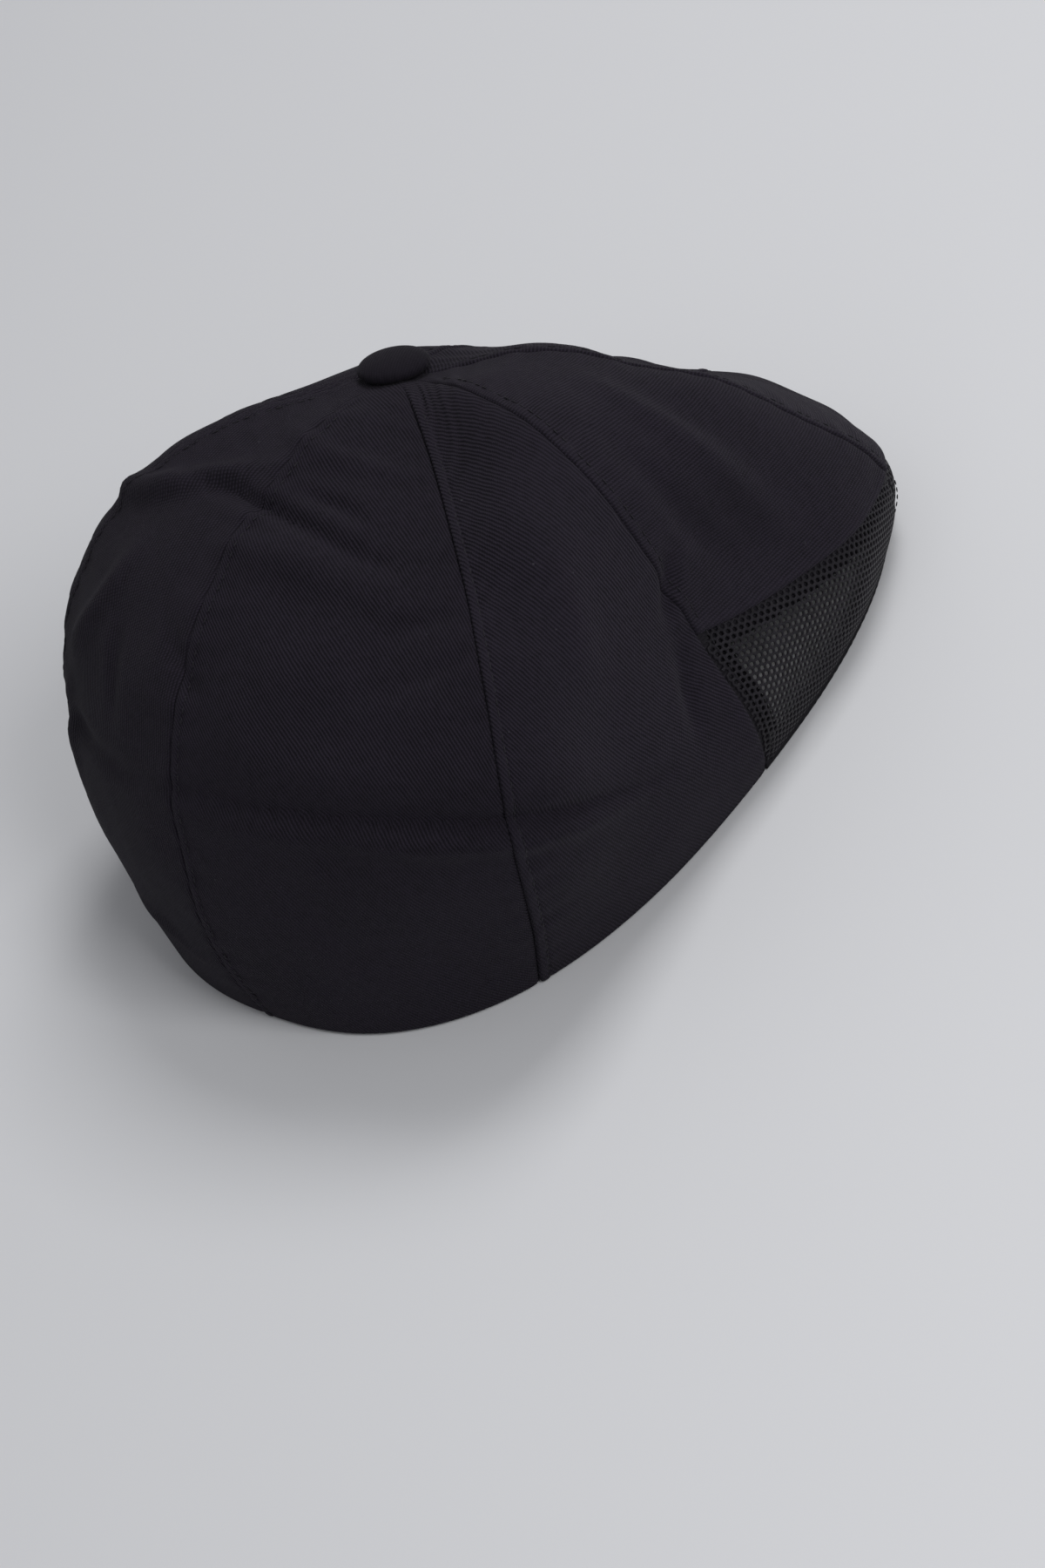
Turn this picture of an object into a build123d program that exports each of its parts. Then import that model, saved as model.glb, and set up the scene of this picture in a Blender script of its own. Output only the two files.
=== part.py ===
from build123d import *
import functools
import math
import os

# Soft eight-panel kitchen cap with a covered button and mesh fronts. Millimetres.
# Frame: the hem stands on the plane Z = 0, the wearer faces -Y, the wearer's right is -X.
# The origin is the middle of the head opening, in the hem plane.

# ---- head opening ----
hem_length = 200.0
hem_width = 150.0
hem_squareness = 2.45

# ---- crown ----
button_height = 93.0
button_forward = 13.5
panel_count = 8
tip_radius = 4.0
seat_radius = 9.5
ridge_sharpness = 0.22
level_power = 8
crown_middle_share = 0.3

# Each seam runs down from the button to the hem. Its sway moves it sideways, towards the seam before it.
# A point is (share of the way out from the button to the hem, share of the button's height).
# The crown leans: the wearer's right and the back stand full, and the left lies lower.
seam_names = [
    "centre_front", "front_right", "side_right", "rear_right",
    "centre_back", "rear_left", "side_left", "front_left",
]
seam_sways = [0.0, -7.0, 1.5, 20.0, 1.0, -5.0, 9.0, 2.0]
seam_profiles = [
    [(0.26, 0.86), (0.50, 0.60), (0.76, 0.31), (0.95, 0.12)],
    [(0.27, 0.98), (0.66, 0.81), (0.99, 0.46), (1.08, 0.18)],
    [(0.34, 1.07), (0.87, 0.93), (0.97, 0.57), (1.07, 0.25)],
    [(0.36, 1.04), (0.85, 0.90), (1.09, 0.62), (1.05, 0.24)],
    [(0.30, 1.09), (0.75, 0.93), (0.96, 0.57), (1.01, 0.24)],
    [(0.33, 1.07), (0.73, 0.96), (0.95, 0.65), (1.02, 0.28)],
    [(0.33, 0.98), (0.86, 0.63), (0.97, 0.32), (1.05, 0.15)],
    [(0.27, 0.87), (0.62, 0.59), (0.93, 0.29), (1.04, 0.12)],
]

# ---- cloth ----
twill_thickness = 0.9
mesh_thickness = 0.8
tape_thickness = 0.4
thread_thickness = 0.25
panel_gap = 0.3
layer_clearance = 0.3

# ---- mesh fronts ----
# Height of the mesh along the cloth, at the side seams, the front seams and the centre front.
# Between seams its top edge dips towards the hem.
mesh_height_side = 45.0
mesh_height_front = 22.0
mesh_height_centre = 21.0
mesh_dip = 3.5
join_gap = 0.3

# ---- bands, tapes and stitching ----
seam_tape_width = 12.0
join_tape_width = 10.0
hem_turning = 9.0
sweatband_height = 46.0
sweatband_thickness = 1.0
band_lift = 1.0
front_binding_height = 3.5
stitch_width = 0.6
seam_stitch_offset = 2.2
stitch_start = 0.12
stitch_hem_clearance = 1.5
band_stitch_height = 5.0
tape_clearance = 0.8

# ---- button ----
button_diameter = 16.5
button_cover_height = 4.4
button_cover_thickness = 0.7
button_cover_lip = 1.0
button_cover_turning = 0.4
button_shell_thickness = 0.6
button_rim_radius = 1.6
button_lean_left = 3.0
button_lean_front = 21.0
button_seat_lift = 0.8
rivet_radius = 1.4
rivet_tail = 2.4
backplate_lift = 0.4
backplate_diameter = 13.0
backplate_thickness = 0.8
fit_clearance = 0.1

# ---- care label ----
label_width = 32.0
label_drop = 18.0
label_thickness = 0.3
label_clearance = 1.0
label_turn = 4.5

# ---- sampling of the cloth surfaces ----
rows_along = 19
rows_round = 65
rows_across = 9
most_edge_share = 0.3
most_tape_share = 0.44
most_stitch_share = 0.3
slope_step = 0.004
hem_samples = 720
seam_samples = 60

side_right_seam = 2
centre_back_seam = 4
side_left_seam = 6


def hem_table():
    """Points round the hem from the centre front towards the wearer's right, with running length."""
    points = []
    lengths = [0.0]
    for step in range(hem_samples + 1):
        angle = 2 * math.pi * step / hem_samples
        sine, cosine = math.sin(angle), math.cos(angle)
        across = math.copysign(abs(sine) ** (2 / hem_squareness), sine)
        forward = math.copysign(abs(cosine) ** (2 / hem_squareness), cosine)
        points.append((-across * hem_width / 2, -forward * hem_length / 2))
        if step:
            lengths.append(lengths[-1] + math.dist(points[-1], points[-2]))
    return points, lengths


hem_points, hem_lengths = hem_table()


@functools.lru_cache(maxsize=None)
def hem_point(turn):
    """The hem at a turn, where one turn is one panel's share of the hem."""
    wanted = (turn / panel_count % 1.0) * hem_lengths[-1]
    low, high = 0, hem_samples
    while high - low > 1:
        middle = (low + high) // 2
        if hem_lengths[middle] <= wanted:
            low = middle
        else:
            high = middle
    share = (wanted - hem_lengths[low]) / (hem_lengths[high] - hem_lengths[low])
    x = hem_points[low][0] + (hem_points[high][0] - hem_points[low][0]) * share
    y = hem_points[low][1] + (hem_points[high][1] - hem_points[low][1]) * share
    return Vector(x, y, 0)


button_seat = Vector(0, -button_forward, button_height)
button_turn = Rotation(button_lean_front, button_lean_left, 0)
seat_normal = (button_turn * Pos(0, 0, 1)).position


def seam_curve(index):
    """A seam's line on the outer face, from under the button to the hem."""
    foot = Vector(button_seat.X, button_seat.Y, 0)
    reach = hem_point(index) - foot
    outward = reach.normalized()
    sideways = Vector(-outward.Y, outward.X, 0)
    across_seat = outward - seat_normal * outward.dot(seat_normal)
    points = [button_seat, button_seat + across_seat * seat_radius]
    for out_share, height_share in seam_profiles[index]:
        points.append(foot + reach * out_share + Vector(0, 0, button_height * height_share))
    points.append(hem_point(index))
    line = Spline(*points)
    swayed = []
    steps = 12
    for step in range(steps + 1):
        share = step / steps
        bow = math.sin(math.pi * share) * seam_sways[index]
        swayed.append((line @ share) + sideways * bow)
    return Spline(*swayed)


def through(before, start, end, after, t):
    """A smooth curve's point between start and end, given the points either side."""
    return (
        start * 2
        + (end - before) * t
        + (before * 2 - start * 5 + end * 4 - after) * t**2
        + (start * 3 - before - end * 3 + after) * t**3
    ) * 0.5


seam_tables = []
for index in range(panel_count):
    curve = seam_curve(index)
    seam_tables.append([curve @ (step / seam_samples) for step in range(seam_samples + 1)])


def seam_point(index, drop):
    """A point on a seam, where drop is 0 under the button and 1 at the hem."""
    table = seam_tables[index % panel_count]
    place = min(max(drop, 0.0), 1.0) * seam_samples
    low = min(int(place), seam_samples - 1)
    before = table[low - 1] if low else table[0] * 2 - table[1]
    after = table[low + 2] if low + 2 <= seam_samples else table[low + 1] * 2 - table[low]
    return through(before, table[low], table[low + 1], after, place - low)


def round_crown(points, t, drop):
    """The cloth between two seams: smooth round the crown, with a soft ridge that fades to the hem."""
    before, start, end, after = points
    chord = start * (1 - t) + end * t
    ridge = ridge_sharpness * (1 - drop * drop)
    return through(before, start, end, after, t) * (1 - ridge) + chord * ridge


@functools.lru_cache(maxsize=None)
def outer_point(turn, drop):
    """A point on the crown's outer face, drawn onto the true hem line towards the hem."""
    index = math.floor(turn)
    t = turn - index
    point = round_crown([seam_point(index + step, drop) for step in (-1, 0, 1, 2)], t, drop)
    if drop > 0.5:
        hem_now = round_crown([hem_point(index + step) for step in (-1, 0, 1, 2)], t, drop)
        point = point + (hem_point(turn) - hem_now) * (2 * drop - 1) ** 3
    return point


def outward_normal(turn, drop):
    """The direction out of the cloth, level at the hem so that every layer ends in the hem plane."""
    low, high = max(drop - slope_step, 0.001), min(drop + slope_step, 1.0)
    down = outer_point(turn, high) - outer_point(turn, low)
    around = outer_point(turn + slope_step, drop) - outer_point(turn - slope_step, drop)
    normal = around.cross(down)
    level = drop**level_power
    normal = Vector(normal.X, normal.Y, normal.Z * (1 - level)).normalized()
    outward = outer_point(turn, drop) - Vector(0, 0, button_height * crown_middle_share)
    return normal if normal.dot(outward) > 0 else normal * -1


def cloth_point(turn, drop, depth):
    """A point at a depth inside the crown's outer face."""
    return outer_point(turn, drop) - outward_normal(turn, drop) * depth


def width_per_turn(turn, drop):
    """Millimetres round the crown for one turn."""
    reach = outer_point(turn + slope_step, drop) - outer_point(turn - slope_step, drop)
    return reach.length / (2 * slope_step)


@functools.lru_cache(maxsize=None)
def length_down(turn):
    """Length of cloth from the button to the hem."""
    steps = 24
    points = [outer_point(turn, step / steps) for step in range(steps + 1)]
    return sum((b - a).length for a, b in zip(points, points[1:]))


def drop_above_hem(turn, height):
    """The drop of a line at a height above the hem, measured along the cloth."""
    return 1 - height / length_down(turn)


def tip_drop(turn):
    """The drop at which the cloth clears the hole under the button."""
    return tip_radius / length_down(turn)


def mesh_height(turn):
    """Height of the mesh along the cloth, the same on both sides of the centre front."""
    seams_from_front = abs((turn + panel_count / 2) % panel_count - panel_count / 2)
    t = seams_from_front % 1
    dip = mesh_dip * 4 * t * (1 - t)
    if seams_from_front < 1:
        return mesh_height_centre + (mesh_height_front - mesh_height_centre) * t - dip
    return mesh_height_front + (mesh_height_side - mesh_height_front) * (seams_from_front - 1) - dip


def cloth_solid(place, near_depth, far_depth, across=rows_across, along=rows_along, on_hem=False):
    """A closed piece of cloth. place(a, b) gives the turn and drop for shares across and along it."""
    spots = [
        [place(a / (across - 1), b / (along - 1)) for a in range(across)] for b in range(along)
    ]
    near = [[cloth_point(turn, drop, near_depth) for turn, drop in row] for row in spots]
    far = [[cloth_point(turn, drop, far_depth) for turn, drop in row] for row in spots]
    near_face = Face.make_surface_from_array_of_points(near, min_deg=3, max_deg=3)
    far_face = Face.make_surface_from_array_of_points(far, min_deg=3, max_deg=3)
    faces = [near_face, far_face]
    for near_edge in near_face.edges():
        middle = near_edge @ 0.5
        far_edge = min(far_face.edges(), key=lambda edge: ((edge @ 0.5) - middle).length)
        flat = on_hem and max(abs((near_edge @ s).Z) for s in (0, 0.5, 1)) < 1e-6
        if flat:
            faces.append(hem_face(near_edge, far_edge))
        else:
            faces.append(Face.make_surface_from_curves(near_edge, far_edge))
    solid = Solid(Shell(faces))
    return solid if solid.volume > 0 else -solid


def hem_face(near_edge, far_edge):
    """The flat underside of a piece that ends in the hem plane."""
    starts = (near_edge @ 0, near_edge @ 1)
    ends = (far_edge @ 0, far_edge @ 1)
    if (starts[0] - ends[0]).length > (starts[0] - ends[1]).length:
        ends = (ends[1], ends[0])
    sides = [Edge.make_line(start, end) for start, end in zip(starts, ends)]
    return Face(Wire([near_edge, sides[0], far_edge, sides[1]]))


def between_seams(index, top, bottom, gap):
    """Places on the panel after a seam, from one drop rule to another, half a gap short of both seams."""

    def place(a, b):
        middle = index + a
        drop = top(middle) + (bottom(middle) - top(middle)) * b
        first = min(gap / 2 / width_per_turn(index, drop), most_edge_share)
        last = min(gap / 2 / width_per_turn(index + 1, drop), most_edge_share)
        return index + first + (1 - first - last) * a, drop

    return place


def along_seam(seam, top, bottom, width, offset=0.0, most=most_tape_share):
    """Places on a strip of even width that follows a seam, narrowed where panels meet at the button.

    The offset is towards the seam before, the side that every seam's allowances are pressed to.
    """

    def place(a, b):
        drop = top(seam) + (bottom(seam) - top(seam)) * b
        scale = 1 / width_per_turn(seam, drop)
        half = min(width / 2 * scale, most)
        centre = min(offset * scale, most)
        return seam - centre + (2 * a - 1) * half, drop

    return place


def round_band(first, last, top, bottom):
    """Places on a band that runs round the crown between two turns."""

    def place(a, b):
        turn = first + (last - first) * a
        return turn, top(turn) + (bottom(turn) - top(turn)) * b

    return place


def at_drop(drop):
    """A rule that gives the same drop all round."""
    return lambda turn: drop


def above_hem(height):
    """A rule that gives the drop of a line a fixed height above the hem."""
    return lambda turn: drop_above_hem(turn, height)


def above_join(height):
    """A rule that gives the drop of a line a height above the top edge of the mesh."""
    return lambda turn: drop_above_hem(turn, mesh_height(turn) + height)


pieces = {}

panel_names = [
    "front_panel_right", "front_side_panel_right", "side_panel_right", "back_panel_right",
    "back_panel_left", "side_panel_left", "front_side_panel_left", "front_panel_left",
]
mesh_names = {
    0: "front_mesh_right", 1: "front_side_mesh_right",
    6: "front_side_mesh_left", 7: "front_mesh_left",
}

# ---- crown panels and mesh fronts ----
for index, name in enumerate(panel_names):
    if index in mesh_names:
        upper = between_seams(index, tip_drop, above_join(join_gap), panel_gap)
        lower = between_seams(index, above_join(0), at_drop(1), panel_gap)
        pieces[name] = cloth_solid(upper, 0, twill_thickness)
        pieces[mesh_names[index]] = cloth_solid(lower, 0, mesh_thickness, along=9, on_hem=True)
    else:
        whole = between_seams(index, tip_drop, at_drop(1), panel_gap)
        pieces[name] = cloth_solid(whole, 0, twill_thickness, on_hem=True)

# ---- tapes inside the seams, from the button down to the turned hem ----
tape_near = twill_thickness + layer_clearance
tape_far = tape_near + tape_thickness
tape_bottom = above_hem(hem_turning + tape_clearance)
for seam, name in enumerate(seam_names):
    place = along_seam(seam, tip_drop, tape_bottom, seam_tape_width)
    pieces["seam_tape_" + name] = cloth_solid(place, tape_near, tape_far, across=7)

# ---- tapes that cover the join of mesh and twill, between the seam tapes ----
half_tape = join_tape_width / 2
side_room = seam_tape_width + 2 * tape_clearance
for index, mesh_name in mesh_names.items():
    place = between_seams(index, above_join(half_tape), above_join(-half_tape), side_room)
    pieces["join_tape_" + mesh_name.replace("_mesh", "")] = cloth_solid(
        place, tape_near, tape_far, across=7, along=4
    )

# ---- turned hem of the twill panels, and the binding on the mesh hem ----
edge_share = panel_gap / 2 / width_per_turn(side_right_seam, 1.0)
band_start = side_right_seam + edge_share
band_end = side_left_seam - edge_share
turning = round_band(band_start, band_end, above_hem(hem_turning), above_hem(band_lift))
turning_far = tape_near + twill_thickness
pieces["hem_turning"] = cloth_solid(turning, tape_near, turning_far, across=rows_round, along=4)
binding = round_band(
    side_left_seam - panel_count + edge_share, side_right_seam - edge_share,
    above_hem(front_binding_height), above_hem(band_lift),
)
pieces["front_binding"] = cloth_solid(binding, tape_near, tape_far, across=rows_round, along=4)

# ---- sweatband behind the twill panels, from side seam to side seam round the back ----
band_near = turning_far + layer_clearance
band_far = band_near + sweatband_thickness
band = round_band(band_start, band_end, above_hem(sweatband_height), above_hem(band_lift))
pieces["sweatband"] = cloth_solid(band, band_near, band_far, across=rows_round, along=7)

# ---- care label, blank, above the sweatband at the back ----
label_near = tape_far + layer_clearance
label_bottom = sweatband_height + label_clearance
label_half = label_width / 2 / width_per_turn(label_turn, drop_above_hem(label_turn, label_bottom))
label = round_band(
    label_turn - label_half, label_turn + label_half,
    above_hem(label_bottom + label_drop), above_hem(label_bottom),
)
pieces["care_label"] = cloth_solid(label, label_near, label_near + label_thickness, across=5, along=5)

# ---- topstitching beside each seam, and round the hem ----
stitch_far = -layer_clearance - thread_thickness
stitch_top = at_drop(stitch_start)
stitch_bottom = above_hem(stitch_hem_clearance)
for seam, name in enumerate(seam_names):
    place = along_seam(
        seam, stitch_top, stitch_bottom, stitch_width, seam_stitch_offset, most_stitch_share
    )
    pieces["topstitch_" + name] = cloth_solid(place, stitch_far, -layer_clearance, across=4)

band_stitch = round_band(
    band_start, band_end, above_hem(band_stitch_height + stitch_width), above_hem(band_stitch_height)
)
thread_near = band_far + layer_clearance
pieces["sweatband_stitch"] = cloth_solid(
    band_stitch, thread_near, thread_near + thread_thickness, across=rows_round, along=4
)


# ---- button: covered shell, rivet through the crown and backplate ----
def turned(profile):
    """A turned piece from its half section, standing on the button's own seat."""
    wire = Polyline(*profile, close=True)
    body = revolve(make_face(wire), Axis.Z)
    return button_place * body


def dome(radius, height, rim, steps=10):
    """Half outline of a low dome from its centre top to its rim."""
    points = []
    for step in range(steps + 1):
        angle = math.pi / 2 * step / steps
        points.append((radius * math.sin(angle), 0, rim + (height - rim) * math.cos(angle)))
    return points


button_place = Location(button_seat) * button_turn * Pos(0, 0, button_seat_lift)
cover_radius = button_diameter / 2
cover_inner = cover_radius - button_cover_thickness
cover_top_inner = button_cover_height - button_cover_thickness
cover_profile = dome(cover_radius, button_cover_height, button_rim_radius)
hollow_radius = cover_inner - button_cover_turning
cover_profile += [
    (cover_radius - button_rim_radius / 2, 0, 0), (cover_inner - button_cover_lip, 0, 0),
    (hollow_radius, 0, button_rim_radius),
]
cover_profile += list(reversed(dome(hollow_radius, cover_top_inner, button_rim_radius)))[1:]
pieces["button_cover"] = turned(cover_profile)

shell_radius = hollow_radius - fit_clearance
shell_top = cover_top_inner - fit_clearance
shell_inner = shell_radius - button_shell_thickness
shell_profile = dome(shell_radius, shell_top, button_rim_radius)
shell_profile += list(reversed(dome(shell_inner, shell_top - button_shell_thickness, button_rim_radius)))
pieces["button_shell"] = turned(shell_profile)

stack = twill_thickness + tape_thickness + 2 * layer_clearance
rivet_bottom = -button_seat_lift - stack - backplate_thickness - rivet_tail
rivet_top = shell_top - button_shell_thickness - fit_clearance
rivet = Pos(0, 0, (rivet_bottom + rivet_top) / 2) * Cylinder(rivet_radius, rivet_top - rivet_bottom)
pieces["button_rivet"] = button_place * rivet

plate_z = rivet_bottom + backplate_lift + backplate_thickness / 2
plate = Cylinder(backplate_diameter / 2, backplate_thickness) - Cylinder(
    rivet_radius + fit_clearance, 2 * backplate_thickness
)
pieces["button_backplate"] = button_place * (Pos(0, 0, plate_z) * plate)

os.makedirs("parts", exist_ok=True)
for name, piece in pieces.items():
    piece.label = name
    export_step(piece, os.path.join("parts", name + ".step"))

print("hem circumference", round(hem_lengths[-1], 1))
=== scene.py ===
import functools
import math

import bmesh
import bpy
import numpy as np
from mathutils import Matrix, Vector


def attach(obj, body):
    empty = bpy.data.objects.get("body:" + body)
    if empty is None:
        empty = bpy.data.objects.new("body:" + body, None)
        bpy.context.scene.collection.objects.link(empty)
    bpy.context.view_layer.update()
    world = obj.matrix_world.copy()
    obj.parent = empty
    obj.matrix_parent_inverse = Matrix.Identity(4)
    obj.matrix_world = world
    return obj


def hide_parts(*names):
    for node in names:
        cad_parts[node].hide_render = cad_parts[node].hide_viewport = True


bl_info = {
    "name": "Eight-panel kitchen cap",
    "version": (1, 0, 0),
    "blender": (4, 5, 0),
    "location": "3D View > Sidebar > Kitchen Cap",
    "description": "Builds the cloth, mesh fronts, tapes, stitches and button of a soft kitchen cap",
    "category": "Add Mesh",
}

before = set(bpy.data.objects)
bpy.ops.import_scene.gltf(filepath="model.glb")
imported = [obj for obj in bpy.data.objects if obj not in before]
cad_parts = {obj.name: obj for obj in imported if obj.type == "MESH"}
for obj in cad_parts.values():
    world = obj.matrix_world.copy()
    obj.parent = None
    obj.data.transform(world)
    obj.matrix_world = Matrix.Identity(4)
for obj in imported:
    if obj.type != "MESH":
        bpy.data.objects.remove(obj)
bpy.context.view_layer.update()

# Lengths are worked out in millimetres, as the cap's pattern is, and written to meshes in metres.
# The hem lies on Z = 0, the wearer faces -Y and the wearer's right is -X. A turn of 1 is one panel of
# eight, from the centre front towards the wearer's right. A drop of 0 is under the button, and 1 the hem.
MM = 0.001

# ---- the crown, the same as the construction model's ----
PANELS = 8
HEM_LENGTH, HEM_WIDTH, HEM_SQUARENESS = 200.0, 150.0, 2.45
BUTTON_HEIGHT, BUTTON_FORWARD = 93.0, 13.5
BUTTON_LEAN_LEFT, BUTTON_LEAN_FRONT, BUTTON_SEAT_LIFT = 3.0, 21.0, 0.8
TIP_RADIUS, SEAT_RADIUS = 4.0, 9.5
RIDGE_SHARPNESS = 0.22
LEVEL_POWER = 8
SEAM_STEPS = 60
SEAM_NAMES = [
    "centre_front", "front_right", "side_right", "rear_right",
    "centre_back", "rear_left", "side_left", "front_left",
]
SEAM_SWAYS = [0.0, -7.0, 1.5, 20.0, 1.0, -5.0, 9.0, 2.0]
SEAM_PROFILES = [
    [(0.26, 0.86), (0.50, 0.60), (0.76, 0.31), (0.95, 0.12)],
    [(0.27, 0.98), (0.66, 0.81), (0.99, 0.46), (1.08, 0.18)],
    [(0.34, 1.07), (0.87, 0.93), (0.97, 0.57), (1.07, 0.25)],
    [(0.36, 1.04), (0.85, 0.90), (1.09, 0.62), (1.05, 0.24)],
    [(0.30, 1.09), (0.75, 0.93), (0.96, 0.57), (1.01, 0.24)],
    [(0.33, 1.07), (0.73, 0.96), (0.95, 0.65), (1.02, 0.28)],
    [(0.33, 0.98), (0.86, 0.63), (0.97, 0.32), (1.05, 0.15)],
    [(0.27, 0.87), (0.62, 0.59), (0.93, 0.29), (1.04, 0.12)],
]
PANEL_NAMES = [
    "front_panel_right", "front_side_panel_right", "side_panel_right", "back_panel_right",
    "back_panel_left", "side_panel_left", "front_side_panel_left", "front_panel_left",
]
MESH_NAMES = {
    0: "front_mesh_right", 1: "front_side_mesh_right", 6: "front_side_mesh_left", 7: "front_mesh_left",
}
MESH_HEIGHT_SIDE, MESH_HEIGHT_FRONT, MESH_HEIGHT_CENTRE, MESH_DIP = 45.0, 22.0, 21.0, 3.5
TWILL, TAPE = 0.9, 0.4
LAYER_CLEARANCE = 0.3
HEM_TURNING, BAND_LIFT = 9.0, 1.0
SWEATBAND_HEIGHT, SWEATBAND_THICKNESS = 46.0, 1.0
TAPE_WIDTH, JOIN_TAPE_WIDTH = 12.0, 10.0
LABEL_WIDTH, LABEL_DROP, LABEL_THICKNESS, LABEL_CLEARANCE = 32.0, 18.0, 0.3, 1.0
SIDE_RIGHT, BACK, LABEL_TURN, SIDE_LEFT = 2, 4.0, 4.5, 6
# Depths of the inner layers' two faces below the crown's outer face, and the radius of the hem's fold.
TAPE_NEAR = TWILL + LAYER_CLEARANCE
TAPE_FAR = TAPE_NEAR + TAPE
TURNING_FAR = TAPE_NEAR + TWILL
BAND_NEAR = TURNING_FAR + LAYER_CLEARANCE
BAND_FAR = BAND_NEAR + SWEATBAND_THICKNESS
FOLD_RADIUS = (TWILL + TAPE_NEAR) / 2
# Gaps between sewn edges in millimetres, then gaps from the side seams in turns.
JOIN_GAP, TAPE_CLEARANCE = 0.3, 0.8
END_GAP, ROLL_GAP, STITCH_GAP = 0.003, 0.004, 0.03
BAND_STITCH_HEIGHT = 5.3
# Under the button, where the panels narrow, half a seam tape is at most this share of a panel.
MOST_TAPE_SHARE = 0.44
# How far to step, in turns or drops, when a slope of the crown is measured.
SLOPE_STEP = 0.004

# ---- soft folds in the worn cloth ----
# Turns and drops along each fold, then its width and height in millimetres.
# A height below zero is a hollow. Each fold swells from its ends and has a shallow trough either side.
FOLDS = [
    ([(4.00, 0.628), (3.42, 0.638), (3.04, 0.675), (2.83, 0.700), (2.58, 0.750), (2.36, 0.815)], 2.3, -1.9),
    ([(3.95, 0.660), (3.42, 0.670), (3.04, 0.705), (2.80, 0.730), (2.50, 0.789)], 3.6, 1.9),
    ([(3.90, 0.590), (3.42, 0.598), (3.04, 0.630), (2.70, 0.680)], 7.0, 1.0),
    ([(5.05, 0.700), (4.60, 0.665), (4.12, 0.640)], 4.0, -1.4),
    ([(4.62, 0.292), (4.08, 0.262), (3.71, 0.288), (3.30, 0.355)], 2.7, -2.9),
    ([(4.05, 0.335), (3.70, 0.340), (3.22, 0.410)], 5.0, 1.9),
    ([(5.22, 0.390), (4.83, 0.345), (4.50, 0.275), (4.15, 0.215)], 4.2, 3.4),
    ([(3.86, 0.230), (3.56, 0.262), (3.40, 0.290)], 2.2, -1.8),
    ([(4.25, 0.150), (3.70, 0.185), (3.17, 0.225)], 3.4, 1.5),
    ([(1.40, 0.330), (1.50, 0.525), (1.50, 0.730)], 5.5, 2.2),
    ([(1.72, 0.400), (1.76, 0.560), (1.72, 0.700)], 4.5, -1.7),
    ([(1.90, 0.600), (2.08, 0.668)], 3.2, -2.4),
    ([(2.08, 0.700), (2.20, 0.820)], 3.6, -1.8),
    ([(2.45, 0.420), (2.50, 0.620)], 7.0, 1.2),
    ([(3.02, 0.420), (3.35, 0.440)], 2.6, -0.8),
    ([(3.02, 0.480), (3.40, 0.510)], 2.6, -0.7),
    ([(4.55, 0.900), (4.12, 0.900)], 2.4, 1.2),
    ([(4.79, 0.640), (4.72, 0.780)], 4.0, 1.5),
    ([(4.78, 0.590), (4.62, 0.500), (4.52, 0.400)], 4.5, 2.0),
    ([(4.42, 0.480), (4.35, 0.600)], 3.6, -1.3),
    ([(4.14, 0.440), (3.90, 0.520)], 3.0, -0.9),
    ([(0.40, 0.420), (0.85, 0.560)], 9.0, -1.2),
    ([(0.95, 0.300), (0.20, 0.520), (-0.30, 0.760)], 17.0, -2.4),
    ([(5.30, 0.480), (4.95, 0.700), (4.75, 0.930)], 15.0, 1.9),
    ([(6.25, 0.330), (5.95, 0.420), (5.70, 0.520)], 8.0, 1.7),
    ([(5.50, 0.660), (5.90, 0.610), (6.45, 0.560)], 5.0, -1.8),
    ([(6.75, 0.400), (7.10, 0.450), (7.45, 0.470)], 6.0, -1.8),
    ([(7.30, 0.620), (6.60, 0.690)], 6.0, 1.2),
    ([(2.25, 0.300), (2.85, 0.420)], 9.0, 0.8),
    ([(7.90, 0.560), (7.30, 0.520)], 7.0, 1.0),
]


def end_slope(places, points, at):
    """The slope at one end of a curve, from the cubic through the four points nearest to it."""
    return np.linalg.solve(np.vander(places - at, 4), points)[2]


def even_spline(points, count):
    """Points spaced evenly along the smooth curve through the given points."""
    points = np.asarray(points, float)
    steps = np.linalg.norm(np.diff(points, axis=0), axis=1)
    places = np.concatenate([[0.0], np.cumsum(steps)])
    last = len(points) - 1
    system = np.eye(last + 1)
    slopes = np.zeros_like(points)
    slopes[0] = end_slope(places[:4], points[:4], places[0])
    slopes[last] = end_slope(places[-4:], points[-4:], places[last])
    for i in range(1, last):
        a, b = steps[i - 1], steps[i]
        system[i, i - 1 : i + 2] = b, 2 * (a + b), a
        slopes[i] = 3 * (b * (points[i] - points[i - 1]) / a + a * (points[i + 1] - points[i]) / b)
    slopes = np.linalg.solve(system, slopes)
    fine = np.linspace(0, 1, 40, endpoint=False)[:, None]
    spans = []
    for i in range(last):
        h = steps[i]
        start, end = points[i], points[i + 1]
        rise = end - start
        spans.append(
            start
            + slopes[i] * h * fine
            + (3 * rise - h * (2 * slopes[i] + slopes[i + 1])) * fine**2
            + (h * (slopes[i] + slopes[i + 1]) - 2 * rise) * fine**3
        )
    curve = np.vstack([*spans, points[last:]])
    run = np.concatenate([[0.0], np.cumsum(np.linalg.norm(np.diff(curve, axis=0), axis=1))])
    wanted = np.linspace(0, run[-1], count)
    return np.stack([np.interp(wanted, run, curve[:, k]) for k in range(3)], axis=1)


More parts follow.
